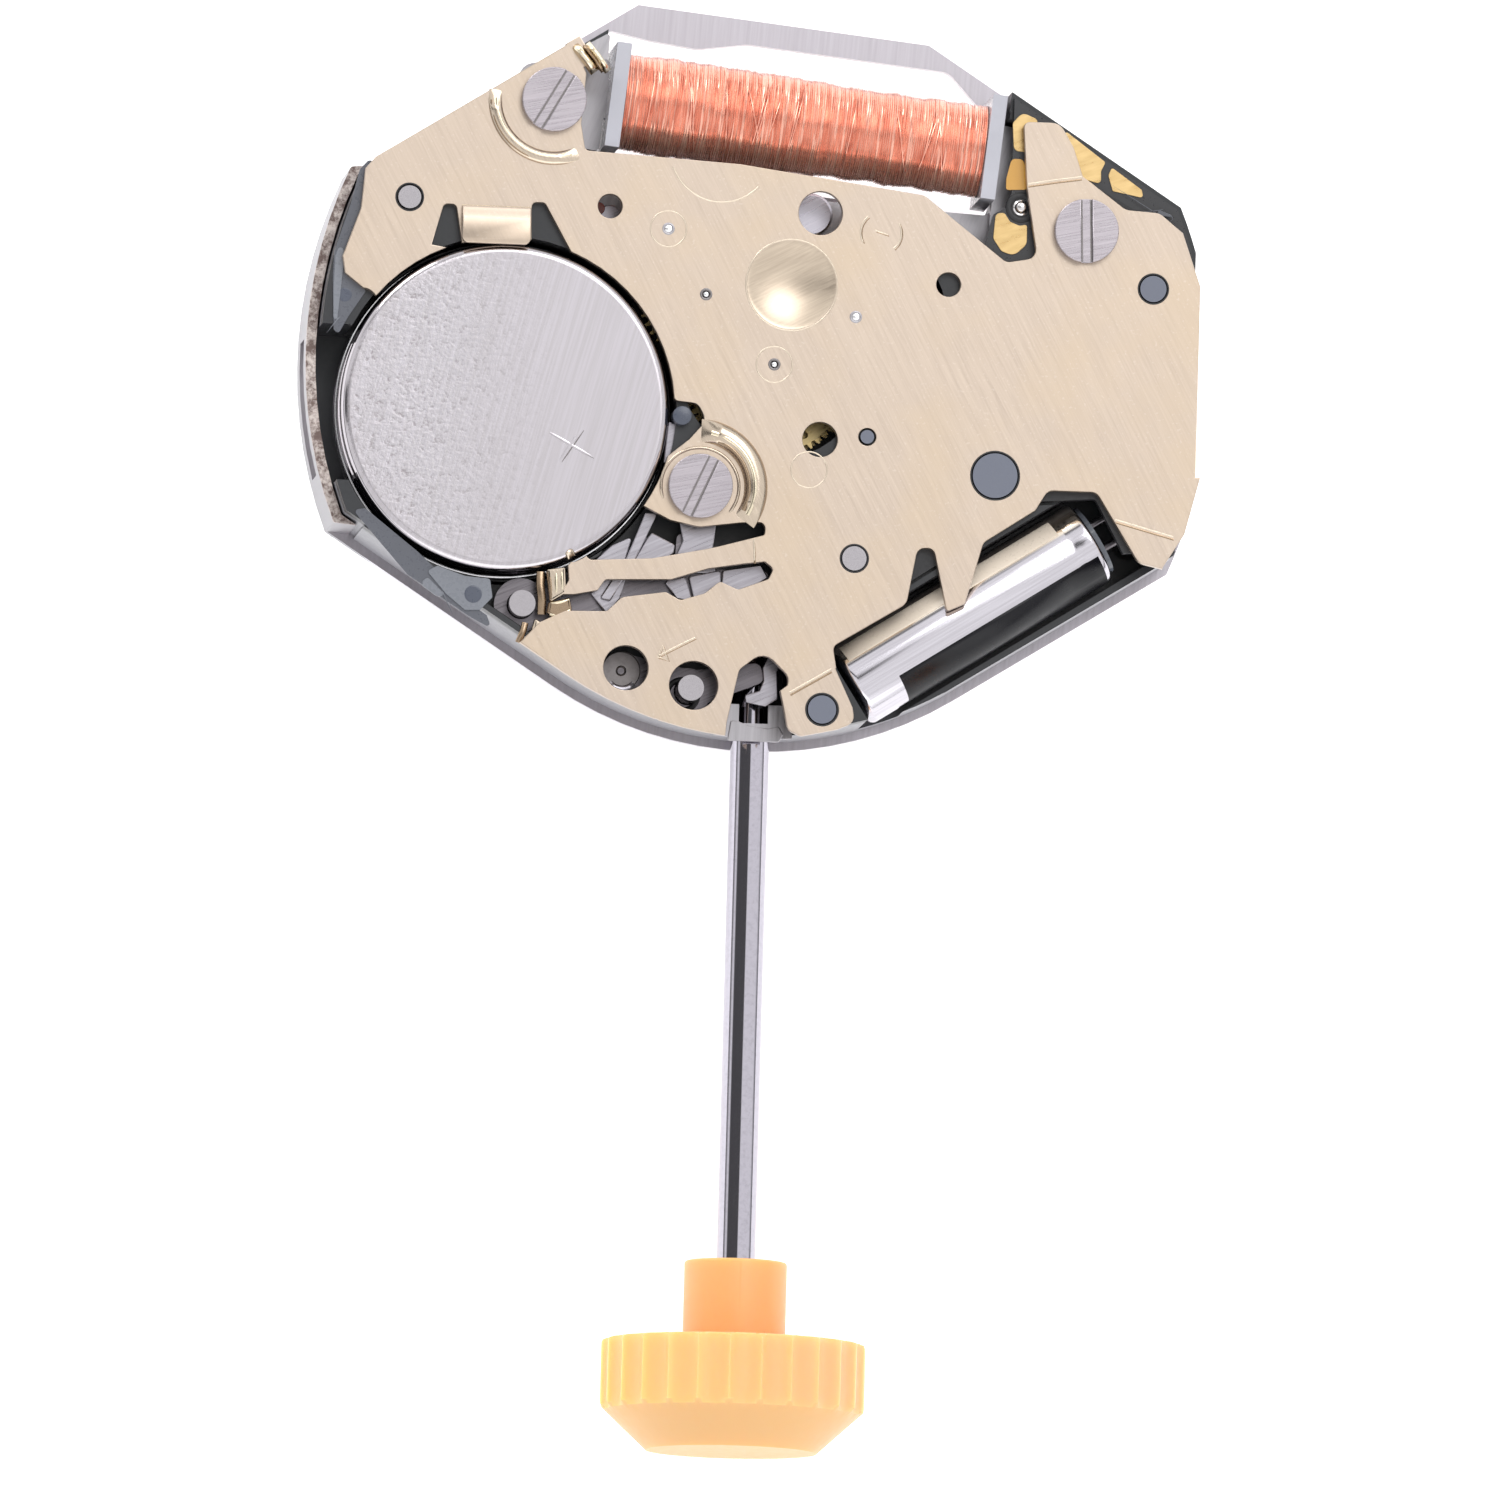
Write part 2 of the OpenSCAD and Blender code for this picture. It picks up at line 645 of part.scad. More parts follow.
// Main sheet of the cover plate, without its raised and bent features
module cover_sheet_2d() {
    difference() {
        intersection() {
            movement_2d(0);
            union() {
                movement_2d(cover_inset);
                translate([-20, -20]) square([40, 18]);
            }
            // Punched edges that stay inside the round ends
            polygon([
                [-8.18, 4.1],
                [-8.5, 3.72],
                [-8.57, 2.9],
                [-8.92, 1.9],
                [-8.86, 1.55],
                [-8.4, 1.2],
                [-8, -9],
                [7.5, -9],
                [8.1, -3.88],
                [8.53, -3.18],
                [end_flat, -1.9],
                [end_flat, 1.6],
                [8.31, 3.12],
                [8.11, 3.46],
                [7.3, 8],
                [-8, 8]
            ]);
        }
        // Left end of the coil and the lower edge of the coil pocket
        polygon(rounded([
            [-4.8, 8, 0],
            [-4.34, 6.5, 0],
            [-4.02, 5.85, 0.1],
            [-4.1, 4.8, 0.1],
            [-4.0, 4.26, 0.1],
            [-0.8, 4.1, 0],
            [3.0, 3.6, 0.3],
            [4.72, 2.28, 0.2],
            [5.35, 2.4, 0.2],
            [5.1, 3.85, 0.1],
            [5.0, 5.2, 0.12],
            [5.75, 5.2, 0.3],
            [6.05, 4.7, 0.2],
            [6.25, 4.12, 0.1],
            [7.15, 3.46, 0.3],
            [7.85, 3.42, 0.3],
            [8.5, 2.9, 0],
            [10, 8, 0]
        ]));
        // Room for the cell
        at([battery_x, battery_y]) circle(r = battery_r + pocket_fit, $fn = 96);
        polygon(rounded([
            [-12, 1.2, 0],
            [-8.35, 1.26, 0.3],
            [-7.4, 0.2, 0],
            [-5.5, -3.6, 0],
            [-4.9, -4.4, 0],
            [-4.6, -5.4, 0.1],
            [-5.3, -6.15, 0],
            [-12, -9, 0]
        ]));
        // Relief beside the battery clip
        polygon(rounded([[-7.1, 2.2, 0], [-6.87, 3.05, 0.1], [-6.62, 3.05, 0.1], [-6.45, 2.1, 0]]));
        polygon(rounded([[-5.05, 2.1, 0], [-5.07, 3.15, 0.1], [-4.8, 3.15, 0.1], [-4.2, 2.1, 0]]));
        translate([-6.5, 0.5]) square([1.5, 1.76]);
        // Bay between the cell and the screw land
        polygon(rounded([
            [-2.4, 0.2, 0],
            [-2.02, -0.82, 0.12],
            [-1.55, -0.86, 0.2],
            [-1.36, -1.2, 0.25],
            [-1.7, -1.6, 0],
            [-2.3, -2.1, 0],
            [-2.8, -1.5, 0]
        ]));
        spring_slots_2d();
        // Stem window
        polygon(rounded([
            [-0.78, -7.4, 0.1],
            [-0.55, -6.3, 0.2],
            [-0.05, -5.9, 0.3],
            [0.47, -6.4, 0.25],
            [0.42, -6.8, 0.05],
            [0.36, -9, 0],
            [-0.9, -9, 0]
        ]));
        // Room for the quartz can and its finger
        polygon(rounded([
            [0.3, -9, 0],
            [0.42, -6.78, 0],
            [1.44, -6.2, 0],
            [1.36, -5.75, 0.15],
            [2.85, -4.82, 0.25],
            [3.05, -3.66, 0.18],
            [3.38, -3.66, 0.15],
            [3.68, -4.95, 0.05],
            [4.05, -4.78, 0.05],
            [4.4, -3.5, 0.2],
            [5.45, -2.8, 0.1],
            [5.7, -2.38, 0.2],
            [6.7, -2.38, 0.2],
            [7.6, -3.8, 0.3],
            [8.3, -3.95, 0],
            [9, -9, 0]
        ]));
        // Small notches of the punched edge
        translate([end_flat + 0.1, -0.26]) circle(r = 0.2);
        translate([end_flat + 0.1, 1.32]) circle(r = 0.18);
        translate([-8.75, 2.85]) circle(r = 0.14);
        translate([-2.25, -7.5]) circle(r = 0.14);
    }
}

// Slots on both sides of the spring arm
module spring_slots_2d() {
    polygon(rounded([
        [-2.62, -3.0, 0.15],
        [-2.05, -3.28, 0.2],
        [-1.45, -3.4, 0.5],
        [-0.6, -3.28, 0.1],
        [-0.1, -3.25, 0.12],
        [-0.1, -3.55, 0.12],
        [-1.3, -3.85, 0],
        [-2.4, -4.08, 0],
        [-3.7, -4.16, 0.12],
        [-3.85, -3.9, 0.1],
        [-4.15, -3.9, 0.1],
        [-4.1, -4.6, 0.1],
        [-4.5, -5.3, 0.1],
        [-5.3, -6.15, 0],
        [-5.8, -4.0, 0],
        [-4.0, -3.2, 0]
    ]));
    polygon(rounded([
        [-0.1, -4.05, 0.08],
        [0.1, -4.2, 0.1],
        [0.0, -4.42, 0.1],
        [-0.62, -4.66, 0.1],
        [-1.0, -4.5, 0.1],
        [-1.3, -4.76, 0.2],
        [-1.8, -4.92, 0.1],
        [-2.1, -4.76, 0.1],
        [-3.0, -4.9, 0.2],
        [-3.3, -5.2, 0.12],
        [-3.65, -5.21, 0.1],
        [-4.15, -5.22, 0.1],
        [-4.66, -5.47, 0],
        [-4.5, -4.9, 0],
        [-3.98, -4.88, 0.05],
        [-3.5, -4.78, 0.05],
        [-3.35, -4.55, 0.1],
        [-2.0, -4.5, 0],
        [-1.25, -4.25, 0]
    ]));
}

// Round holes of the cover plate: x, y, radius
COVER_HOLES = [
    [0.87, 3.15, 0.45],
    [0.98, -1.51, 0.36],
    [-3.46, 3.13, 0.25],
    [3.54, 1.78, 0.25],
    [-2.88, -6.35, 0.46],
    [lever_pivot[0] + 0.04, lever_pivot[1] + 0.04, 0.5]
];

// Gilt sheet that closes the movement, with its dimple, lands and bent tabs
module cover_plate() {
    ball_r = (dimple_r * dimple_r + dimple_depth * dimple_depth) / (2 * dimple_depth);
    color(gold) difference() {
        union() {
            translate([0, 0, cover_bottom]) linear_extrude(cover_t) cover_sheet_2d();
            // Underside of the dimple
            intersection() {
                at(dimple_xy, cover_bottom + ball_r - dimple_depth) sphere(r = ball_r, $fn = 64);
                at(dimple_xy, cover_bottom - 1) cylinder(r = dimple_r, h = 1);
            }
            // Clip over the edge of the cell
            translate([-6.5, battery_y + battery_r - 0.08, cover_top + 0.01])
                cube([1.43, 0.76, 0.16]);
            translate([-6.5, battery_y + battery_r + 0.2, cover_bottom])
                cube([1.43, 0.53, cover_t + 0.02]);
            // Spring arm
            translate([0, 0, cover_bottom]) linear_extrude(cover_t) polygon(rounded([
                [-0.05, -3.5, 0],
                [-1.3, -3.86, 0],
                [-2.4, -4.1, 0],
                [-3.66, -4.2, 0.05],
                [-4.1, -4.22, 0.05],
                [-4.0, -4.85, 0.08],
                [-3.52, -4.75, 0.08],
                [-3.38, -4.52, 0.1],
                [-2.0, -4.48, 0],
                [-1.25, -4.22, 0],
                [-0.05, -4.06, 0]
            ]));
            // Tip of the arm that lies on the edge of the cell
            translate([-4.1, -4.6, cover_top - 0.04]) cube([0.25, 0.3, 0.16]);
            translate([-4.1, -4.6, cover_top + 0.01]) cube([0.25, 0.7, 0.11]);
            // Raised foot beside the stem
            foot_tab();
            // Raised bead round the screw land
            at(land_xy, cover_top - 0.02) rotate([0, 0, -32]) rotate_extrude(angle = 118)
                translate([1.14, 0]) intersection() {
                    circle(r = 0.2, $fn = 24);
                    translate([-0.3, 0]) square([0.6, 0.3]);
                }
            // Bead round the left screw
            at(left_screw, cover_top - 0.03) rotate([0, 0, 172]) rotate_extrude(angle = 116)
                translate([1.22, 0]) intersection() {
                    circle(r = 0.13, $fn = 24);
                    translate([-0.2, 0]) square([0.4, 0.2]);
                }
            // Turned-up tab beside the left screw
            translate([-4.14, 5.93, cover_bottom]) rotate([0, 0, 33]) cube([0.34, 0.6, 0.45]);
        }
        at(dimple_xy, cover_top + ball_r - dimple_depth) sphere(r = ball_r, $fn = 64);
        for (h = COVER_HOLES) translate([h[0], h[1], 0]) cylinder(r = h[2], h = 5);
        for (p = concat(PEGS, PINS))
            translate([p[0], p[1], 0]) cylinder(r = p[2] + 0.04, h = 5);
        for (p = [fifth_xy, third_xy, [0, 0], rotor_xy])
            at(p) cylinder(r = pivot_r + run_fit, h = 5);
        at_screws() cylinder(r = screw_d / 2 + pocket_fit / 2, h = 5);
    }
}

// Foot of the cover plate that folds up a little beside the stem
module foot_tab() {
    color(gold) difference() {
        translate([0, 0, cover_bottom]) linear_extrude(cover_t) polygon(rounded([
            [0.3, -6.7, 0],
            [0.48, bottom_y + 0.2, 0.2],
            [0.75, bottom_y + 0.08, 0.15],
            [1.5, bottom_y + 0.25, 0.25],
            [1.85, bottom_y + 0.4, 0.2],
            [1.8, bottom_y + 0.7, 0.1],
            [1.42, -6.2, 0],
            [1.2, -6.0, 0]
        ]));
        at(foot_peg, 0) cylinder(r = foot_peg[2] + 0.05, h = 5);
    }
}

// Positive can of the cell
module battery_can() {
    r = battery_r;
    color("#c3c0c6") at([battery_x, battery_y]) rotate_extrude($fn = 96) polygon(concat(
        [[0, cover_top], [0, battery_z + 0.9], [r - 0.75, battery_z + 0.9]],
        [[r - 0.75, battery_z + 0.06], [r - 0.45, battery_z + 0.06], [r - 0.22, battery_z + 0.02]],
        rounded_edge(r, battery_z + 0.2, -90, 0.18),
        rounded_edge(r, cover_top - 0.22, 0, 0.22)
    ));
}

// Quarter arc inside the corner at radius r, starting at the given angle
function rounded_edge(r, z, start, size) =
    [for (i = [0 : 4]) [r - size + size * cos(start + 22.5 * i), z + size * sin(start + 22.5 * i)]];

// Negative cap inside the can
module battery_cap() {
    r = battery_r - 0.95;
    color(silver) at([battery_x, battery_y], battery_z) difference() {
        cylinder(r = r, h = 0.9, $fn = 96);
        difference() {
            translate([0, 0, -0.1]) cylinder(r = r + 1, h = 0.25, $fn = 96);
            translate([0, 0, -0.2]) cylinder(r1 = r - 0.5, r2 = r, h = 0.45, $fn = 96);
        }
    }
}

// Sealing ring between can and cap
module battery_gasket() {
    color("#20242a") at([battery_x, battery_y], battery_z + 0.1) difference() {
        cylinder(r = battery_r - 0.75, h = 0.8, $fn = 96);
        translate([0, 0, -1]) cylinder(r = battery_r - 0.95, h = 3, $fn = 96);
    }
}

// Insulating sleeve in the battery well
module battery_liner() {
    r = battery_r + liner_t + 0.03;
    color("#15171a") at([battery_x, battery_y], well_z) difference() {
        cylinder(r = r, h = fifth_wheel_z - 0.1 - well_z, $fn = 96);
        translate([0, 0, -1]) cylinder(r = r - liner_t, h = 5, $fn = 96);
        translate([-6, -2.4, -1]) cube([4.5, 4.8, 5]);
    }
}

// Leaf spring under the cell that carries the minus current to the board
module minus_contact() {
    color(brass) at([battery_x, battery_y], battery_z - contact_t) difference() {
        union() {
            cylinder(r = 1.3, h = contact_t);
            rotate([0, 0, 20]) translate([0, -0.5, 0]) cube([battery_r - 0.1, 1, contact_t]);
            rotate([0, 0, 200]) translate([0, -0.35, 0]) cube([battery_r - 0.3, 0.7, contact_t]);
        }
        translate([0, 0, -1]) cylinder(r = 0.5, h = 3);
        for (a = [65, 245])
            rotate([0, 0, a]) translate([0.62, -0.09, -1]) cube([0.5, 0.18, 3]);
    }
}

// Flexible board with the gilt tracks, under the cover plate
module board_2d(grow = 0) {
    difference() {
        intersection() {
            movement_2d(body_inset + 0.1 - 2 * grow);
            polygon(rounded([
                [4.84 - grow, 6.6, 0],
                [4.82 - grow, 3.5, 0.1],
                [4.45 - grow, 3.3, 0.1],
                [4.3 - grow, 2.6, 0.15],
                [4.4 - grow, 1.9, 0.2],
                [3.75 - grow, 1.0, 0.2],
                [3.3 - grow, -1.4, 0.3],
                [2.3 - grow, -3.4, 0.3],
                [2.7, -4.5 - grow, 0.2],
                [5.5, -2.6 - grow, 0.2],
                [6.7, -2.5 - grow, 0.1],
                [7.3 - grow, -3.6 - grow, 0],
                [12, -3, 0],
                [12, 6, 0]
            ]));
        }
        if (grow == 0) {
            at(right_screw) circle(r = bush_r + pass_fit);
            for (p = PEGS) translate([p[0], p[1]]) circle(r = p[2] + 0.03);
        }
    }
}

module circuit_board() {
    color("#24262a") translate([0, 0, board_z]) linear_extrude(board_t) board_2d();
}

// Insulating film between the board and the cover plate
module board_insulator() {
    color("#181a1d") translate([0, 0, board_z + board_t]) linear_extrude(film_t) difference() {
        intersection() {
            board_2d();
            movement_2d(body_inset + 0.35);
        }
        polygon([[3, 6], [3, 3], [4.2, 1.9], [5.5, 2.1], [5.2, 3.6], [6.6, 3.9], [9, 2.6], [10, 8]]);
    }
}

// Encapsulated circuit under the board
module circuit_chip() {
    color("#101113") at(chip_xy, board_z - chip_size[2]) cube(chip_size);
}

// Drawn can of the quartz resonator
module crystal_can() {
    r = crystal_d / 2;
    color("#d5d3d6") at_crystal(crystal_z) rotate([0, 90, 0]) translate([0, 0, -crystal_l / 2])
        rotate_extrude() polygon(concat(
            [[0, 0]],
            [for (i = [0 : 4]) [r - 0.2 + 0.2 * sin(22.5 * i), 0.2 - 0.2 * cos(22.5 * i)]],
            [[r, crystal_l - 0.12], [r - 0.06, crystal_l], [r - 0.14, crystal_l]],
            [[r - 0.14, crystal_l - 0.4], [0, crystal_l - 0.4]]
        ));
}

// Glass header in the open end of the can
module crystal_header() {
    color("#3a3f46") at_crystal(crystal_z) rotate([0, 90, 0])
        translate([0, 0, crystal_l / 2 - 0.4]) difference() {
            cylinder(r = crystal_d / 2 - 0.14, h = 0.5);
            for (s = [-1, 1]) translate([0, s * 0.27, -1]) cylinder(r = lead_r, h = 3);
        }
}

// The two wires from the header to the board
module crystal_leads() {
    color(silver) at_crystal(crystal_z) for (s = [-1, 1]) {
        rotate([0, 90, 0]) translate([0, s * 0.27, crystal_l / 2 - 0.35])
            cylinder(r = lead_r, h = 1.13);
        translate([crystal_l / 2 + 0.7, -s * 0.27, 0]) cylinder(r = lead_r, h = board_z - crystal_z);
    }
}

// Moulded former of the coil with its two flanges
module coil_bobbin() {
    h = winding_d + 0.06;
    color(clear_plastic) at_coil(coil_z) difference() {
        union() {
            for (s = [-1, 1])
                translate([s * (coil_half - flange_t / 2) - flange_t / 2, -h / 2, -h / 2])
                    cube([flange_t, h, h]);
            translate([-coil_half, -core_w / 2 - 0.14, -core_t / 2 - 0.14])
                cube([2 * coil_half, core_w + 0.28, core_t + 0.28]);
        }
        translate([-20, -core_w / 2, -core_t / 2]) cube([40, core_w, core_t]);
    }
}

// Copper winding, fullest near its left end
module coil_winding() {
    r = winding_d / 2;
    r_end = winding_end_d / 2;
    color(copper) at_coil(coil_z) difference() {
        rotate([0, 90, 0]) translate([0, 0, -winding_l / 2]) rotate_extrude() polygon([
            [0, 0],
            [r_end, 0],
            [r, winding_l * 0.08],
            [r, winding_l * 0.35],
            [(r + r_end) / 2, winding_l * 0.75],
            [r_end, winding_l],
            [0, winding_l]
        ]);
        translate([-20, -core_w / 2 - 0.14, -core_t / 2 - 0.14])
            cube([40, core_w + 0.28, core_t + 0.28]);
    }
}

// Core strip with a lug beyond each flange, in the frame of the coil
module core_2d(grow = 0) {
    inner = coil_half + 0.03 - grow;
    square([2 * coil_half + 1, core_w + 2 * grow], center = true);
    polygon(rounded([
        [screw_u - 0.68 - grow, -1.0 - grow, 0.3],
        [-inner, -1.1 - grow, 0.1],
        [-inner, 0.8 + grow, 0.1],
        [-inner - 0.5, 0.85 + grow, 0.2],
        [screw_u - 0.68 - grow, 0.45 + grow, 0.3]
    ]));
    polygon(rounded([
        [inner, -1.65 - grow, 0.2],
        [inner + 0.7 + grow, -1.65 - grow, 0.2],
        [inner + 0.7 + grow, 0.5 + grow, 0.2],
        [inner, 0.6 + grow, 0.1]
    ]));
}

// Permeable core that links the coil to the stator
module coil_core() {
    color(silver) translate([0, 0, core_z]) linear_extrude(core_t) difference() {
        at_coil() core_2d();
        at(left_screw) circle(r = bush_r + run_fit);
    }
}

module stator() {
    color(steel) translate([0, 0, stator_z]) linear_extrude(core_t) difference() {
        stator_2d();
        at(rotor_xy) circle(d = stator_hole_d);
        at(left_screw) circle(r = bush_r + run_fit);
        // Two notches that set the rest angle of the rotor
        for (a = [40, 220]) at(rotor_xy) rotate(a) translate([stator_hole_d / 2, 0]) circle(r = 0.1);
    }
}

// Arbor from the floor to the cover plate, with a pinion on it
module pinion_arbor(xy, teeth, mod, turn, z, h) {
    at(xy) {
        translate([0, 0, train_floor + 0.03]) cylinder(r = arbor_r, h = train_top - train_floor - 0.03);
        translate([0, 0, motion_top + 0.05]) cylinder(r = pivot_r, h = cover_top - motion_top - 0.1);
        translate([0, 0, z]) linear_extrude(h) gear_2d(teeth, mod, turn, 0);
    }
}

module rotor_magnet() {
    color("#55565c") at(rotor_xy, stator_z + core_t / 2 - magnet_h / 2) difference() {
        cylinder(d = magnet_d, h = magnet_h);
        translate([0, 0, -1]) cylinder(r = arbor_r, h = 3);
    }
}

rotor_turn = rotor_angle + 180;
fifth_turn = mesh_turn(rotor_angle + 180, rotor_turn, rotor_teeth, fifth_teeth);
fifth_pinion_turn = fifth_angle + 180;
second_turn = mesh_turn(fifth_angle + 180, fifth_pinion_turn, pinion_teeth, wheel_teeth);
second_pinion_turn = third_angle;
third_turn = mesh_turn(third_angle, second_pinion_turn, pinion_teeth, wheel_teeth);
third_pinion_turn = third_angle + 180;
centre_turn = mesh_turn(third_angle + 180, third_pinion_turn, pinion_teeth, centre_teeth);
cannon_turn = minute_angle;
minute_turn = mesh_turn(minute_angle, cannon_turn, cannon_teeth, minute_teeth);
minute_pinion_turn = minute_angle + 180;
hour_turn = mesh_turn(minute_angle + 180, minute_pinion_turn, minute_pinion_teeth, hour_teeth);
setting_turn = mesh_turn(setting_angle, minute_turn, minute_teeth, setting_teeth);

module rotor_pinion() {
    color(brass)
        pinion_arbor(rotor_xy, rotor_teeth, rotor_mod, rotor_turn, fifth_wheel_z - 0.1, 0.35);
}

module fifth_wheel() {
    color(brass) at(fifth_xy, fifth_wheel_z)
        wheel(fifth_teeth, rotor_mod, fifth_turn, arbor_r, wheel_t, 3, 0.28);
}

module fifth_pinion() {
    color(steel)
        pinion_arbor(fifth_xy, pinion_teeth, fifth_mod, fifth_pinion_turn, second_wheel_z - 0.08, 0.36);
}

module second_wheel() {
    color(brass) translate([0, 0, second_wheel_z])
        wheel(wheel_teeth, fifth_mod, second_turn, arbor_r, wheel_t, 4, 0.45);
}

// Arbor of the second hand, through the cannon pinion
module second_arbor() {
    seat_r = second_seat_d / 2;
    color(steel) union() {
        translate([0, 0, -second_seat_h]) cylinder(r = seat_r, h = second_seat_h - minute_seat_h - seat_gap);
        translate([0, 0, -minute_seat_h - seat_gap - 0.01])
            cylinder(r1 = seat_r - 0.005, r2 = seat_r, h = minute_seat_h + seat_gap + train_floor + 0.31);
        translate([0, 0, train_floor + 0.3]) cylinder(r = arbor_r, h = train_top - train_floor - 0.3);
        translate([0, 0, train_top - 0.1]) cylinder(r = pivot_r, h = cover_top - train_top + 0.05);
        translate([0, 0, third_wheel_z - 0.1]) linear_extrude(wheel_t + 0.2)
            gear_2d(pinion_teeth, third_mod, second_pinion_turn, 0);
    }
}

module third_wheel() {
    color(brass) at(third_xy, third_wheel_z)
        wheel(wheel_teeth, third_mod, third_turn, arbor_r, wheel_t, 4, 0.4);
}

module third_pinion() {
    color(steel)
        pinion_arbor(third_xy, pinion_teeth, centre_mod, third_pinion_turn, centre_wheel_z - 0.02, 0.34);
}

module centre_wheel() {
    color(brass) translate([0, 0, centre_wheel_z])
        wheel(centre_teeth, centre_mod, centre_turn, cannon_r + run_fit, wheel_t, 4, 0.6);
}

// Tube that carries the minute hand and passes through the floor
module cannon_pinion() {
    color(steel) difference() {
        union() {
            translate([0, 0, -minute_seat_h])
                cylinder(r = cannon_r, h = minute_seat_h - hour_seat_h - seat_gap);
            // The tube widens very slightly from the seat to the pinion
            translate([0, 0, -hour_seat_h - seat_gap - 0.01])
                cylinder(r1 = cannon_r - 0.005, r2 = cannon_r, h = hour_seat_h + seat_gap + minute_wheel_z);
            translate([0, 0, minute_wheel_z])
                cylinder(r = cannon_r, h = centre_wheel_z - minute_wheel_z + wheel_t + 0.05);
            translate([0, 0, minute_wheel_z - 0.02]) linear_extrude(minute_wheel_t + 0.04)
                gear_2d(cannon_teeth, minute_mod, cannon_turn, 0);
        }
        translate([0, 0, -5]) cylinder(r = cannon_bore_r, h = 9);
    }
}

module minute_wheel() {
    color(brass) at(minute_xy, minute_wheel_z)
        wheel(minute_teeth, minute_mod, minute_turn, 0.3, minute_wheel_t, 3, 0.55);
}

// Minute pinion, a sleeve on its post
module minute_pinion() {
    color(steel) at(minute_xy) difference() {
        union() {
            translate([0, 0, hour_wheel_z]) linear_extrude(hour_wheel_t + 0.06)
                gear_2d(minute_pinion_teeth, hour_mod, minute_pinion_turn, 0);
            translate([0, 0, hour_wheel_z + 0.1])
                cylinder(r = 0.3, h = minute_wheel_z + minute_wheel_t - hour_wheel_z - 0.1);
        }
        translate([0, 0, -1]) cylinder(r = post_r + run_fit, h = 4);
    }
}

// Hour wheel with the pipe for the hour hand
module hour_wheel() {
    color(brass) difference() {
        union() {
            translate([0, 0, hour_wheel_z]) linear_extrude(hour_wheel_t)
                gear_2d(hour_teeth, hour_mod, hour_turn, 0);
            translate([0, 0, -hour_seat_h]) cylinder(d = hour_seat_d, h = hour_seat_h - seat_gap);
            // The pipe widens where it meets the wheel
            translate([0, 0, -seat_gap])
                cylinder(r1 = hour_seat_d / 2, r2 = hour_seat_d / 2 + 0.07, h = hour_wheel_z + seat_gap + 0.05);
        }
        translate([0, 0, -5]) cylinder(r = cannon_r + pass_fit, h = 9);
    }
}

module setting_wheel() {
    color(brass) at(setting_xy, minute_wheel_z) difference() {
        linear_extrude(minute_wheel_t) gear_2d(setting_teeth, minute_mod, setting_turn, post_r + run_fit);
    }
}

// Sliding clutch on the square of the stem
module clutch_wheel() {
    crown = 0.16;
    color(steel) at_stem(clutch_front) difference() {
        rotate_extrude() polygon([
            [0, 0],
            [clutch_r, 0],
            [clutch_r, clutch_l * 0.34],
            [clutch_groove_r, clutch_l * 0.38],
            [clutch_groove_r, clutch_l * 0.86],
            [clutch_r * 0.9, clutch_l * 0.9],
            [clutch_r * 0.9, clutch_l],
            [0, clutch_l]
        ]);
        translate([-square_half - run_fit, -square_half - run_fit, -1])
            cube([2 * (square_half + run_fit), 2 * (square_half + run_fit), 4]);
        for (i = [0 : 9])
            rotate([0, 0, i * 36]) translate([clutch_groove_r + 0.02, -0.07, -0.1])
                cube([1, 0.14, 0.1 + crown]);
    }
}

// Stem with pilot, square, groove and the long rod
module stem() {
    groove_top = post_y + groove_w / 2;
    rod_end = knob_flutes_top - knob_l;
    color("#bdbbc2") union() {
        at_stem(pilot_end) cylinder(r = pilot_r, h = pilot_end - stem_back + 0.1);
        at_stem(stem_back) translate([-square_half, -square_half, 0])
            cube([2 * square_half, 2 * square_half, stem_back - stem_shoulder]);
        at_stem(stem_shoulder) cylinder(r = stem_r, h = stem_shoulder - groove_top);
        at_stem(stem_shoulder) cylinder(r = groove_r, h = stem_shoulder - post_y + groove_w);
        at_stem(post_y - groove_w / 2) cylinder(r = stem_r, h = post_y - groove_w / 2 - rod_end);
    }
}

// Setting knob with a collar, shallow flutes and a chamfered end
module stem_knob() {
    r = knob_d / 2;
    end_face_r = r - knob_chamfer * 1.08;
    body_l = collar_l + knob_l + knob_chamfer;
    flute_r = PI * knob_d / flutes * 0.62;
    color("#ffc27e") at_stem(knob_top) difference() {
        rotate_extrude($fn = 96) polygon([
            [0, 0],
            [collar_d / 2, 0],
            [collar_d / 2, collar_l],
            [r - 0.08, collar_l],
            [r, collar_l + 0.08],
            [r, body_l - knob_chamfer],
            [end_face_r, body_l],
            [0, body_l]
        ]);
        translate([0, 0, -1]) cylinder(r = stem_r, h = 1 + collar_l + knob_l);
        for (i = [0 : flutes - 1])
            rotate([0, 0, i * 360 / flutes]) translate([r + flute_r * 0.78, 0, collar_l - 1])
                cylinder(r = flute_r, h = body_l, $fn = 24);
    }
}

// Lever that drops its post into the groove of the stem
module setting_lever() {
    color("#97959d") difference() {
        union() {
            translate([0, 0, lever_z]) linear_extrude(lever_t) {
                at(lever_pivot) circle(r = 0.48);
                at(lever_pivot) rotate(lever_half) polygon(rounded([
                    [-0.2, -0.38, 0.1],
                    [lever_reach + 0.2, -0.2, 0.15],
                    [lever_reach + 0.2, 0.2, 0.15],
                    [-0.2, 0.45, 0.1]
                ]));
                at([-2.88, -6.35]) circle(r = 0.42);
                polygon(rounded([
                    [-2.9, -6.7, 0.1],
                    [-1.5, -7.1, 0.1],
                    [-1.5, -6.25, 0.1],
                    [-2.9, -5.95, 0.1]
                ]));
            }
            translate([stem_x, post_y, stem_z + groove_r + 0.06])
                cylinder(r = lever_post_r, h = lever_z + lever_t - stem_z - groove_r - 0.06);
        }
        at(lever_pivot) cylinder(r = lever_pin_r + run_fit, h = 5);
    }
}

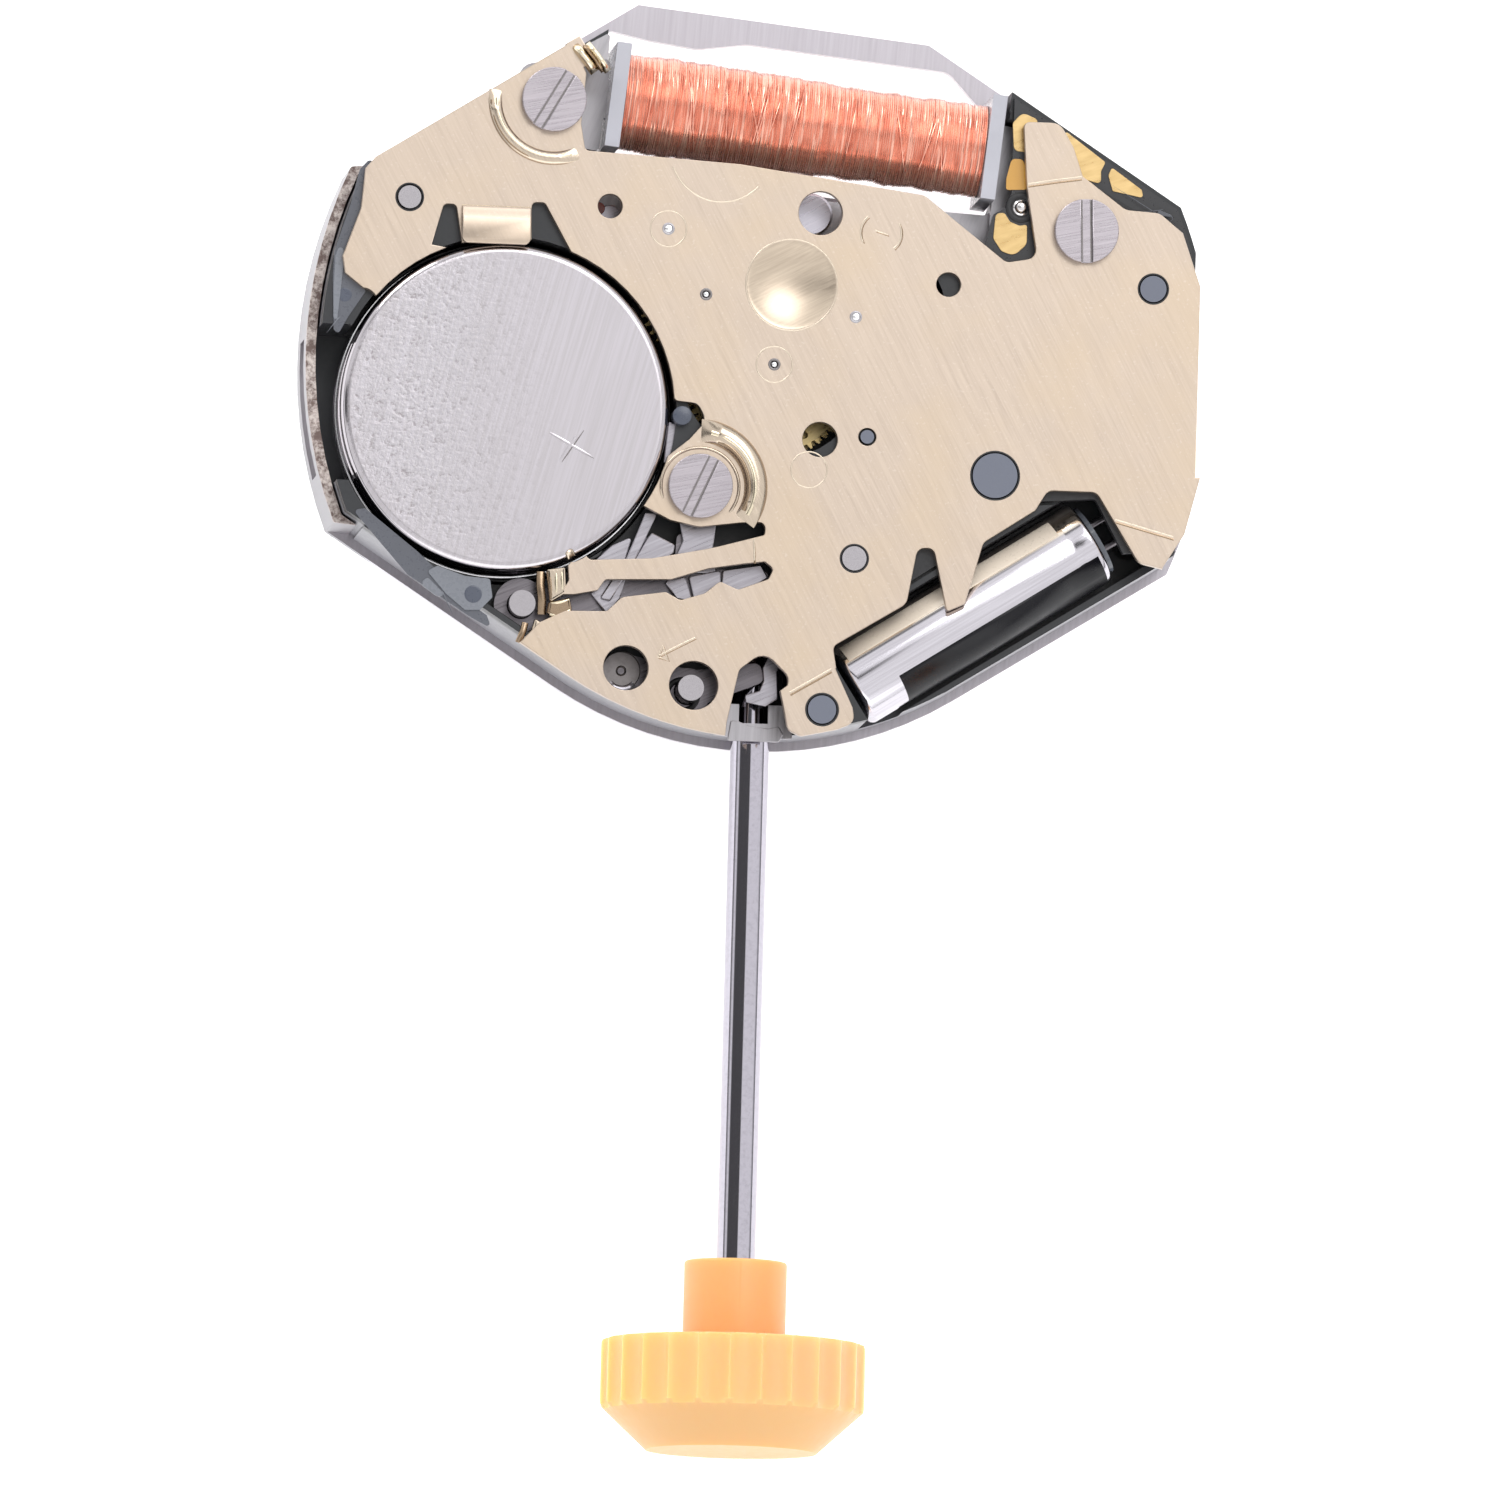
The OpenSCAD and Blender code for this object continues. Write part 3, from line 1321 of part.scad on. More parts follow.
// Fork that follows the clutch
module yoke() {
    tip_y = clutch_front - clutch_l * yoke_tip;
    color("#a3a1a9") difference() {
        union() {
            translate([0, 0, lever_z]) linear_extrude(lever_t) {
                at(yoke_pivot) circle(r = 0.36);
                polygon(rounded([
                    [yoke_pivot[0], yoke_pivot[1] - 0.33, 0.1],
                    [yoke_pivot[0], yoke_pivot[1] + 0.33, 0.1],
                    [stem_x + 0.2, tip_y + 0.12, 0.08],
                    [stem_x - 0.2, tip_y + 0.12, 0.08],
                    [stem_x - 0.2, tip_y - 0.12, 0.08],
                    [stem_x + 0.3, tip_y - 0.14, 0.1]
                ]));
            }
            translate([stem_x - 0.15, tip_y - 0.07, stem_z + clutch_groove_r + 0.05])
                cube([0.3, 0.14, lever_z - stem_z - clutch_groove_r]);
        }
        at(yoke_pivot) cylinder(r = yoke_pin_r + run_fit, h = 5);
    }
}

// Lever that stops the train while the hands are set
module reset_lever() {
    z = lever_z + lever_t + 0.12;
    color(silver) difference() {
        translate([0, 0, z]) linear_extrude(0.16) {
            intersection() {
                at(reset_pivot) circle(r = reset_head_r);
                movement_2d(body_inset + rim_wall + 0.06);
            }
            polygon(rounded([
                [reset_pivot[0], reset_pivot[1] - 0.36, 0.1],
                [-3.3, -5.35, 0.2],
                [-2.2, -4.95, 0.2],
                [-0.9, -4.75, 0.1],
                [0.05, -4.45, 0.12],
                [0.05, -4.2, 0.12],
                [-1.2, -4.2, 0.1],
                [-1.5, -3.5, 0.1],
                [-1.85, -3.5, 0.1],
                [-1.9, -4.35, 0.15],
                [-2.35, -4.5, 0.15],
                [-2.05, -3.55, 0.12],
                [-2.5, -3.6, 0.1],
                [-3.2, -4.8, 0.2],
                [reset_pivot[0], reset_pivot[1] + 0.4, 0.1]
            ]));
        }
        at(reset_pivot) cylinder(r = reset_pin_r + run_fit, h = 5);
    }
}

// Flat spring that holds the setting lever in its two places
module lever_spring() {
    color("#8f8e96") translate([0, 0, lever_floor]) linear_extrude(spring_t) polygon(rounded([
        [-4.4, -5.95, 0.15],
        [-3.7, -6.1, 0.1],
        [-3.5, -5.5, 0.1],
        [-2.2, -5.35, 0.1],
        [-1.0, -5.3, 0.06],
        [-1.0, -5.15, 0.06],
        [-2.3, -5.15, 0.1],
        [-4.2, -5.3, 0.2]
    ]));
}

// Pivots of the two levers and of the yoke
module lever_pins() {
    top = lever_z + lever_t;
    color("#c9c7cd") {
        at(lever_pivot, 1) cylinder(r = lever_pin_r, h = cover_top - 0.1 - 1);
        at(reset_pivot, 1) cylinder(r = reset_pin_r, h = cover_bottom - 1);
        at(yoke_pivot, 1) cylinder(r = yoke_pin_r, h = top + 0.1 - 1);
    }
}

// Pins that line up the cover plate
module guide_pins() {
    color("#c9c7cd") for (p = PINS)
        translate([p[0], p[1], pin_low]) cylinder(r = p[2], h = cover_top + 0.02 - pin_low);
}

// Threaded pillars under the screws
module screw_bushes() {
    color(brass) at_screws(1) difference() {
        cylinder(r = bush_r, h = cover_bottom - 1);
        translate([0, 0, 0.4]) cylinder(d = screw_d, h = 5);
    }
}

// Three slotted screws of the cover plate
module plate_screws() {
    color("#c8c6cb") for (s = SCREWS)
        translate([s[0], s[1], screw_seat]) rotate([0, 0, s[2]]) difference() {
            union() {
                rotate_extrude() polygon([
                    [0, 0],
                    [screw_head_d / 2, 0],
                    [screw_head_d / 2, screw_head_h - 0.04],
                    [screw_head_d / 2 - 0.04, screw_head_h],
                    [0, screw_head_h]
                ]);
                translate([0, 0, -1.3]) cylinder(d = screw_d, h = 1.35);
            }
            translate([-2, -slot_w / 2, screw_head_h * 0.45]) cube([4, slot_w, 1]);
        }
}

main_plate();
dial_plate();
cover_plate();
battery_can();
battery_cap();
battery_gasket();
battery_liner();
minus_contact();
circuit_board();
circuit_chip();
board_insulator();
crystal_can();
crystal_header();
crystal_leads();
coil_bobbin();
coil_winding();
coil_core();
stator();
rotor_magnet();
rotor_pinion();
fifth_wheel();
fifth_pinion();
second_wheel();
second_arbor();
third_wheel();
third_pinion();
centre_wheel();
cannon_pinion();
minute_wheel();
minute_pinion();
hour_wheel();
setting_wheel();
clutch_wheel();
stem();
stem_knob();
stem_cover();
setting_lever();
yoke();
reset_lever();
lever_spring();
lever_pins();
guide_pins();
screw_bushes();
plate_screws();
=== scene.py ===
"""Looks of a small analogue quartz watch movement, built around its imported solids.

Lengths are written in millimetres and turned into metres by mm() or by the mesh makers.
The battery side faces +Z, the hands turn about Z and the stem leaves along -Y.
"""

import math
import random

import bmesh
import bpy
from mathutils import Matrix, Vector, noise


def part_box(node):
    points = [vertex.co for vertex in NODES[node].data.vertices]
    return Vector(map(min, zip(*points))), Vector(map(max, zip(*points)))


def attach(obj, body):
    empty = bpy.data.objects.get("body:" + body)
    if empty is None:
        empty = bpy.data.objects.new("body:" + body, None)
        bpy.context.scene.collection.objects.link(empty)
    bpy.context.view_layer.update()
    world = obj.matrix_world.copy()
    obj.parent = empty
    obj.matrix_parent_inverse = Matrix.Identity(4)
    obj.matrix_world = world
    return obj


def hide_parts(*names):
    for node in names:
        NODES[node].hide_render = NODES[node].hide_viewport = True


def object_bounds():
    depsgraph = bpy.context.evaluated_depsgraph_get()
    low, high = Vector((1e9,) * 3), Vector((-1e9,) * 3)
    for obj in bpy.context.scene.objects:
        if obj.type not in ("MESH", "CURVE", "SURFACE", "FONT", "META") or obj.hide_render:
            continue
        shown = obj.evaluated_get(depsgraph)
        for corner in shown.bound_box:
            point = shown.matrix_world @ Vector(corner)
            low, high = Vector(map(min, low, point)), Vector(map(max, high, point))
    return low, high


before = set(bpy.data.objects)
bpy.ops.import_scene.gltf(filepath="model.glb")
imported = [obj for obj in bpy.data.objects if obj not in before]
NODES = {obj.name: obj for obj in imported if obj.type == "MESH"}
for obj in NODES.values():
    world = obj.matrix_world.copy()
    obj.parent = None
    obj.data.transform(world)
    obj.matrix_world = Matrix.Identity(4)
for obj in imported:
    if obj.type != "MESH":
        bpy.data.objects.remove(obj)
cad_low, cad_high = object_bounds()
MM = 0.001

COVER_BOTTOM, COVER_TOP = 2.75, 2.95
CELL_XY = (-5.5, -1.08)
CELL_R, CELL_TOP, CELL_BOTTOM = 3.4, 2.95, 0.8
DIMPLE_XY, DIMPLE_R, DIMPLE_DEPTH = (0.31, 1.65), 0.9, 0.2
COIL_MID, COIL_ANGLE, COIL_Z, COIL_L, COIL_R = (0.545, 5.07), -5.75, 1.7, 7.5, 1.05
CRYSTAL_MID, CRYSTAL_ANGLE, CRYSTAL_Z = (4.25, -4.88), 33.0, 1.82
CRYSTAL_R, CRYSTAL_L = 0.9, 5.85
CAN_ALONG, CAN_ACROSS = (0.839, 0.545, 0), (-0.545, 0.839, 0)
STEM_X, STEM_Z = -0.13, 1.25
KNOB_TOP, KNOB_R, COLLAR_R, COLLAR_L = -18.3, 2.72, 1.05, 1.65
KNOB_BODY, KNOB_CHAMFER, CHAMFER_SLOPE, FLUTES, FLUTE_DEPTH = 1.35, 0.9, 1.08, 26, 0.135
SCREWS = ((-4.68, 5.27, 60), (6.34, 2.98, 92), (-1.46, -2.57, 66))
SCREW_R = 0.66
BRUSH_ANGLE = -62.0
BOARD_TOP, LEVER_TOP, PIN_LEVEL, HOLE_FLOOR = 2.65, 2.42, 2.1, 1.87
# a radius that counts as none, the least normal.z of a level face, and how far a bead sinks in
TIP, LEVEL_FACE, SINK = 1e-6, 0.9999, 0.01


def mm(x, y, z=0.0):
    return Vector((x, y, z)) * MM


# ---- shader nodes


class Nodes:
    """A node tree under construction: add() makes a node and wires or sets its inputs."""

    def __init__(self, tree):
        self.tree = tree

    def add(self, kind, inputs=None, **settings):
        node = self.tree.nodes.new("ShaderNode" + kind)
        for key, value in settings.items():
            setattr(node, key, value)
        for key, value in (inputs or {}).items():
            self.put(node.inputs[key], value)
        return node

    def put(self, socket, value):
        if isinstance(value, bpy.types.NodeSocket):
            self.tree.links.new(value, socket)
        elif socket.type == "RGBA":
            socket.default_value = (*value, 1.0)
        else:
            socket.default_value = value

    def ramp(self, value, low, high, a=0.3, b=0.7):
        """low where value is at most a, high where it is at least b."""
        node = self.add("MapRange", {"Value": value, "From Min": a, "From Max": b, "To Min": low, "To Max": high})
        return node.outputs[0]

    def mask(self, value, a=0.3, b=0.7):
        return self.ramp(value, 0.0, 1.0, a, b)

    def math(self, kind, a, b=0.0, c=0.0):
        node = self.add("Math", operation=kind)
        for socket, value in zip(node.inputs, (a, b, c)):
            self.put(socket, value)
        return node.outputs[0]

    def times(self, a, b):
        return self.math("MULTIPLY", a, b)


class Shader(Nodes):
    """The nodes of a material, round one principled surface."""

    def __init__(self, name):
        self.mat = bpy.data.materials.new(name)
        self.mat.use_nodes = True
        super().__init__(self.mat.node_tree)
        self.tree.nodes.clear()
        self.bsdf = self.add("BsdfPrincipled")
        self.add("OutputMaterial", {"Surface": self.bsdf.outputs[0]})
        self.coords = self.add("TexCoord")

    def surface(self, **inputs):
        """Sets inputs of the surface shader and gives the material."""
        for key, value in inputs.items():
            self.put(self.bsdf.inputs[key.replace("_", " ")], value)
        return self.mat

    def place(self, scale=(1, 1, 1), turn=0.0):
        """Object coordinates in millimetres, turned about Z and then stretched."""
        spin = (0, 0, math.radians(-turn))
        turned = self.add("Mapping", {"Vector": self.coords.outputs["Object"], "Rotation": spin})
        return self.add("Mapping", {"Vector": turned.outputs[0], "Scale": [s / MM for s in scale]}).outputs[0]

    def noise(self, scale, detail=2.0, turn=0.0, rough=0.5):
        stretched = scale if isinstance(scale, tuple) else (scale,) * 3
        inputs = {"Vector": self.place(stretched, turn), "Scale": 1.0, "Detail": detail, "Roughness": rough}
        return self.add("TexNoise", inputs).outputs["Fac"]

    def mix(self, factor, a, b):
        node = self.add("Mix", data_type="RGBA")
        # sockets of the colour mix: factor, first and second colour
        for index, value in zip((0, 6, 7), (factor, a, b)):
            self.put(node.inputs[index], value)
        return node.outputs[2]

    def axis(self, name):
        """One object coordinate in millimetres."""
        return self.add("SeparateXYZ", {"Vector": self.place()}).outputs[name]

    def facing(self, name):
        """One component of the surface normal."""
        return self.add("SeparateXYZ", {"Vector": self.coords.outputs["Normal"]}).outputs[name]

    def bump(self, height, microns, normal=None):
        node = self.add("Bump", {"Height": height, "Distance": microns * 1e-6, "Strength": 1.0})
        if normal is not None:
            self.put(node.inputs["Normal"], normal)
        return node.outputs[0]


def brushed(name, dark, light, turn, rough, depth, fine=(0.7, 26, 8)):
    """Metal with fine parallel brush lines and slow changes of tone."""
    s = Shader(name)
    lines = s.noise(fine, 4.0, turn, 0.6)
    slow = s.noise(0.35, 2.0)
    tone = s.math("MULTIPLY_ADD", lines, 0.65, s.times(slow, 0.35))
    return s.surface(
        Base_Color=s.mix(s.mask(tone, 0.36, 0.64), dark, light),
        Metallic=1.0,
        Roughness=s.ramp(lines, rough - 0.05, rough + 0.07),
        Normal=s.bump(lines, depth),
    )


def polished(name, colour, rough, speck):
    """Bright metal with faint handling marks."""
    s = Shader(name)
    marks = s.noise(9.0, 5.0, 0.0, 0.7)
    dim = tuple(c * 0.86 for c in colour)
    return s.surface(
        Base_Color=s.mix(s.mask(marks, 0.25, 0.55), dim, colour),
        Metallic=1.0,
        Roughness=s.ramp(marks, rough + 0.06, rough, 0.3, 0.6),
        Normal=s.bump(marks, speck),
    )


def plastic(name, colour, rough, depth=1.5, grain=14.0, **more):
    """Moulded plastic with a fine eroded grain."""
    s = Shader(name)
    skin = s.noise(grain, 3.0)
    cloud = s.noise(0.8, 2.0)
    dim = tuple(c * 0.82 for c in colour)
    return s.surface(
        Base_Color=s.mix(cloud, dim, colour),
        Roughness=s.ramp(skin, rough - 0.06, rough + 0.08),
        Normal=s.bump(skin, depth),
        **more,
    )


def make_gilt():
    """Champagne plating with a fine slanted brush, slow warm clouds and small specks."""
    s = Shader("gilt_sheet")
    lines = s.noise((0.9, 30, 8), 4.0, BRUSH_ANGLE, 0.6)
    clouds = s.noise(0.55, 3.0)
    specks = s.noise(16.0, 2.0)
    fine = s.mix(s.mask(lines), (0.455, 0.375, 0.31), (0.515, 0.43, 0.355))
    warm = s.mix(s.ramp(clouds, 0.0, 0.55, 0.42, 0.68), fine, (0.505, 0.405, 0.3))
    return s.surface(
        Base_Color=s.mix(s.ramp(specks, 0.0, 0.35, 0.62, 0.72), warm, (0.6, 0.53, 0.46)),
        Metallic=1.0,
        Roughness=s.ramp(lines, 0.32, 0.42),
        Normal=s.bump(lines, 0.5),
    )


GILT = make_gilt()
# gilt_bright is a lighter copy of the gilt: painted highlights on beads, lines and curls, and also the minus
# contact's finish
GILT_BRIGHT = polished("gilt_bright", (0.74, 0.65, 0.49), 0.16, 0.8)
STEEL_SHEET = brushed("steel_sheet", (0.3, 0.29, 0.305), (0.38, 0.365, 0.385), 88.0, 0.36, 0.5, (0.5, 16, 6))
LEVER_STEEL = brushed("lever_steel", (0.27, 0.255, 0.28), (0.4, 0.385, 0.42), 24.0, 0.3, 0.5, (0.8, 20, 6))
LEVER_DARK = brushed("lever_dark", (0.12, 0.11, 0.12), (0.2, 0.185, 0.2), 24.0, 0.3, 0.5, (0.8, 20, 6))
SCREW_STEEL = brushed("screw_steel", (0.355, 0.325, 0.35), (0.425, 0.39, 0.42), 12.0, 0.28, 0.15, (0.8, 30, 8))
CORE_ALLOY = brushed("core_alloy", (0.3, 0.29, 0.305), (0.38, 0.365, 0.385), 70.0, 0.36, 0.8, (1.2, 12, 5))


def make_chrome():
    """Drawn can: lavender steel with fine streaks along it, and a painted warm reflection on its upper flank."""
    s = Shader("chrome_can")
    streaks = s.noise((0.5, 22, 22), 3.0, CRYSTAL_ANGLE)
    sideways = s.times(s.facing("X"), CAN_ACROSS[0])
    across = s.math("MULTIPLY_ADD", s.facing("Y"), CAN_ACROSS[1], sideways)
    streak = s.mask(streaks, 0.35, 0.65)
    cool = s.mix(streak, (0.5, 0.48, 0.52), (0.58, 0.56, 0.605))
    # painted reflection: faces turned across the can, on its upper flank, take a warm champagne tint
    warm = s.mix(streak, (0.7, 0.6, 0.49), (0.9, 0.83, 0.73))
    return s.surface(
        Base_Color=s.mix(s.mask(across, 0.4, 0.46), cool, warm),
        Metallic=1.0,
        Roughness=s.ramp(streaks, 0.1, 0.2),
        Normal=s.bump(streaks, 0.3),
    )


CHROME = make_chrome()
STEM_STEEL = polished("stem_steel", (0.45, 0.43, 0.485), 0.06, 0.3)
HARD_STEEL = polished("hard_steel", (0.4, 0.38, 0.4), 0.22, 0.6)
PIVOT = polished("pivot_end", (0.85, 0.85, 0.87), 0.2, 0.3)
BRASS = brushed("brass_wheel", (0.62, 0.46, 0.2), (0.8, 0.64, 0.34), 35.0, 0.28, 0.6, (2, 16, 6))
MAGNET = polished("magnet", (0.2, 0.2, 0.22), 0.35, 1.0)
SEAL = plastic("seal", (0.03, 0.03, 0.035), 0.6)
BLACK_FILM = plastic("black_film", (0.010, 0.010, 0.012), 0.5)


def make_dark_reflection_film():
    """Thin black film, glossy but with few reflections, laid on the crystal can as a painted dark reflection."""
    s = Shader("dark_reflection_film")
    grain = s.noise(2.0, 2.0)
    return s.surface(
        Base_Color=s.mix(grain, (0.004, 0.004, 0.006), (0.008, 0.008, 0.010)),
        Roughness=s.ramp(grain, 0.24, 0.34),
        Specular_IOR_Level=0.2,
    )


DARK_REFLECTION_FILM = make_dark_reflection_film()
# pale strip on the crystal can's upper flank: a painted reflection
PAINTED_SHEEN = plastic("painted_sheen", (0.9, 0.79, 0.66), 0.3, 0.3)
DARK_STEEL = polished("dark_steel", (0.2, 0.185, 0.185), 0.35, 1.0)
GILT_SHADE = polished("gilt_shade", (0.3, 0.22, 0.15), 0.25, 1.0)
BOARD_MASK = plastic("board_mask", (0.022, 0.022, 0.025), 0.32, 1.0)
CHIP = plastic("chip_resin", (0.012, 0.012, 0.012), 0.25)
HEADER_GLASS = plastic("header_glass", (0.1, 0.11, 0.13), 0.12, 0.4)
CLEAR_PLASTIC = plastic("clear_plastic", (0.5, 0.5, 0.555), 0.18, 0.3, 10.0, Transmission_Weight=0.2, IOR=1.5)


def make_smoked():
    """Dark moulded plastic, paler and bluer on the tops of pegs and on its outer wall."""
    s = Shader("smoked_plastic")
    skin = s.noise(12.0, 3.0)
    height = s.axis("Z")
    peg = s.mask(height, 2.86, 2.93)
    up = s.mask(s.facing("Z"), 0.6, 0.9)
    outward = s.times(s.facing("Y"), s.axis("Y"))
    outward = s.math("MULTIPLY_ADD", s.facing("X"), s.axis("X"), outward)
    wall = s.mask(outward, 4.0, 6.5)
    low = s.ramp(height, 1.0, 0.0, 2.2, 2.45)
    body = s.mix(s.times(wall, low), (0.012, 0.013, 0.016), (0.2, 0.2, 0.22))
    return s.surface(
        Base_Color=s.mix(s.times(peg, up), body, (0.11, 0.12, 0.155)),
        Roughness=s.ramp(skin, 0.3, 0.42),
        Normal=s.bump(skin, 1.2),
    )


SMOKED = make_smoked()
RIM_PLASTIC = plastic("rim_plastic", (0.085, 0.09, 0.108), 0.3, 1.2, 12.0)
TAB_PLASTIC = plastic("tab_plastic", (0.165, 0.175, 0.2), 0.28, 1.0, 12.0)
PEG_PLASTIC = plastic("peg_plastic", (0.062, 0.071, 0.098), 0.3, 1.0, 12.0)


def make_cell():
    """Cell can: bright turned rim, satin face, pitted plating towards the left."""
    s = Shader("cell_steel")
    left = s.ramp(s.axis("X"), 1.0, 0.0, -7.6, -4.2)
    up = s.mask(s.facing("Z"), 0.9, 0.99)
    pits = s.noise(9.0, 4.0, 0.0, 0.62)
    fine = s.noise((0.5, 22, 6), 3.0, 75.0)
    worn = s.times(left, up)
    height = s.times(pits, worn)
    tone = s.mix(s.mask(fine, 0.35, 0.65), (0.43, 0.405, 0.425), (0.475, 0.45, 0.48))
    dirt = s.times(s.ramp(pits, 0.7, 0.0, 0.34, 0.44), worn)
    return s.surface(
        Base_Color=s.mix(dirt, tone, (0.26, 0.235, 0.24)),
        Metallic=1.0,
        Roughness=s.ramp(up, 0.1, 0.3, 0.0, 1.0),
        Normal=s.bump(height, 8.0, s.bump(fine, 0.3)),
    )


CELL_STEEL = make_cell()


def make_copper():
    """Lacquered wire: tone changes from turn to turn; the lower flank is paler and duller, a painted highlight for
    light from below.
    """
    s = Shader("copper_wire")
    turns = s.noise((9, 1.2, 1.2), 3.0, COIL_ANGLE)
    fleck = s.noise((30, 4, 4), 2.0, COIL_ANGLE)
    tone = s.math("MULTIPLY_ADD", turns, 0.6, s.times(fleck, 0.4))
    # painted light: faces turned down towards -Y get a paler base
    low = s.ramp(s.facing("Y"), 1.0, 0.0, -0.8, -0.45)
    wire = s.mix(s.mask(tone), (0.63, 0.255, 0.18), (0.94, 0.505, 0.385))
    return s.surface(
        Base_Color=s.mix(low, wire, (0.97, 0.6, 0.47)),
        Metallic=0.74,
        Roughness=s.math("MULTIPLY_ADD", low, 0.28, s.ramp(fleck, 0.17, 0.28)),
        Coat_Weight=0.35,
        Coat_Roughness=0.12,
        Coat_IOR=1.5,
    )


COPPER = make_copper()


def make_knob():
    """Translucent amber plastic, deeper on the collar, with painted shade on the end."""
    s = Shader("knob_plastic")
    skin = s.noise(5.0, 3.0)
    deep = s.mask(s.axis("Y"), KNOB_TOP - COLLAR_L - 0.1, KNOB_TOP - COLLAR_L + 0.1)
    # painted shade: the end, facing -Y, is darker
    tip = s.ramp(s.facing("Y"), 1.0, 0.0, -0.7, -0.4)
    right = s.mask(s.axis("X"), -2.0, 2.4)
    body = s.mix(right, (0.74, 0.45, 0.165), (0.74, 0.415, 0.195))
    body = s.mix(deep, body, (0.74, 0.36, 0.13))
    return s.surface(
        Base_Color=s.mix(tip, body, (0.6, 0.35, 0.135)),
        Roughness=s.ramp(skin, 0.36, 0.44),
        Normal=s.bump(skin, 3.0),
        Subsurface_Weight=0.55,
        Subsurface_Scale=0.0012,
        Subsurface_Radius=(1.0, 0.55, 0.25),
    )


KNOB = make_knob()


def make_side_steel():
    """Sheet under the dial: brushed band, and a torn speckled edge on top of the turned-up wall."""
    s = Shader("dial_sheet")
    lines = s.noise((0.4, 15, 5), 4.0, 86.0, 0.6)
    speck = s.noise(5.0, 5.0, 0.0, 0.75)
    high = s.mask(s.axis("Z"), 1.95, 2.05)
    left = s.ramp(s.axis("X"), 1.0, 0.0, -8.2, -7.9)
    torn = s.times(high, left)
    flat = s.mix(s.mask(lines), (0.365, 0.345, 0.37), (0.425, 0.4, 0.435))
    up = s.mask(s.facing("Z"), 0.5, 0.9)
    plain = s.mix(up, s.mix(left, (0.66, 0.64, 0.67), (0.27, 0.26, 0.28)), flat)
    rough_edge = s.mix(s.mask(speck, 0.42, 0.6), (0.16, 0.12, 0.11), (0.55, 0.49, 0.46))
    return s.surface(
        Base_Color=s.mix(torn, plain, rough_edge),
        Metallic=1.0,
        Roughness=s.ramp(torn, 0.34, 0.5, 0.0, 1.0),
        Normal=s.bump(s.times(speck, torn), 40.0, s.bump(lines, 0.4)),
    )


DIAL_SHEET = make_side_steel()
RED_LACQUER = plastic("red_lacquer", (0.35, 0.07, 0.05), 0.2, 0.5)
GILT_LINE = polished("gilt_line", (0.6, 0.52, 0.42), 0.32, 0.05)
PALE_STEEL = brushed("pale_steel", (0.42, 0.4, 0.455), (0.5, 0.48, 0.53), 30.0, 0.3, 0.3)
AMBER = plastic("amber_film", (0.55, 0.3, 0.07), 0.2, 0.6)
GILT_SMOOTH = brushed("gilt_smooth", (0.48, 0.4, 0.32), (0.56, 0.475, 0.38), BRUSH_ANGLE, 0.2, 0.2)
GILT_DISH = brushed("gilt_dish", (0.46, 0.38, 0.3), (0.58, 0.49, 0.39), BRUSH_ANGLE + 90, 0.34, 0.4)
GOLD_TRACK = brushed("gold_track", (0.52, 0.36, 0.16), (0.62, 0.45, 0.22), 20.0, 0.3, 0.5, (2, 10, 4))
SOLDER = polished("solder", (0.62, 0.6, 0.6), 0.16, 1.0)

# ---- mesh makers


def finish_mesh(obj, material, sharp=35.0, body="movement"):
    """Material, shading and the body that the piece rides on."""
    obj.data.materials.clear()
    obj.data.materials.append(material)
    obj.data.shade_smooth()
    obj.data.set_sharp_from_angle(angle=math.radians(sharp))
    for face in obj.data.polygons:
        if abs(face.normal.z) > LEVEL_FACE:
            face.use_smooth = False
    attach(obj, body)
    return obj


def add_object(name, data):
    obj = bpy.data.objects.new(name, data)
    bpy.context.scene.collection.objects.link(obj)
    return obj


def new_object(name, verts, faces):
    mesh = bpy.data.meshes.new(name)
    mesh.from_pydata(verts, [], faces)
    mesh.validate()
    return add_object(name, mesh)


def face_outward(mesh, merge=0.0):
    """Turn the faces outward, after joining vertices nearer than merge."""
    bm = bmesh.new()
    bm.from_mesh(mesh)
    if merge:
        bmesh.ops.remove_doubles(bm, verts=bm.verts, dist=merge)
    bmesh.ops.recalc_face_normals(bm, faces=bm.faces)
    bm.to_mesh(mesh)
    bm.free()


def skin(rings):
    """Faces between neighbouring rings of vertex numbers; a ring of one is a tip."""
    faces = []
    for a, b in zip(rings, rings[1:]):
        n = max(len(a), len(b))
        for i in range(n):
            j = (i + 1) % n
            corners = (a[i % len(a)], a[j % len(a)], b[j % len(b)], b[i % len(b)])
            corners = tuple(dict.fromkeys(corners))
            if len(corners) > 2:
                faces.append(corners)
    return faces


def tunnel(n, row, closed=False):
    """Faces of a tube of n rows of vertices, with ends unless it is closed."""
    faces = []
    for i in range(n if closed else n - 1):
        for k in range(row):
            j, m = (i + 1) % n, (k + 1) % row
            faces.append((i * row + k, j * row + k, j * row + m, i * row + m))
    if not closed:
        faces += [tuple(range(row))[::-1], tuple(range((n - 1) * row, n * row))]
    return faces


def lathe(name, profile, segments, place, slot, material, sharp=40, body="movement"):
    """Turned form: profile is (radius, height) in mm, place turns and moves it into the frame."""
    verts, rings = [], []
    for r, z in profile:
        count = 1 if r < TIP else segments
        rings.append(range(len(verts), len(verts) + count))
        for i in range(count):
            a = 2 * math.pi * i / segments
            verts.append(place @ (mm(0, 0, z) if r < TIP else mm(r * math.cos(a), r * math.sin(a), z)))
    obj = new_object(name, verts, skin(rings))
    face_outward(obj.data)
    return finish_mesh(obj, material, sharp, body)


def arc(x, y, r, start, end, n):
    """Points of an arc from start to end in degrees; a profile takes them as (radius, height)."""
    turns = (math.radians(start + (end - start) * i / n) for i in range(n + 1))
    return [(x + r * math.cos(a), y + r * math.sin(a)) for a in turns]


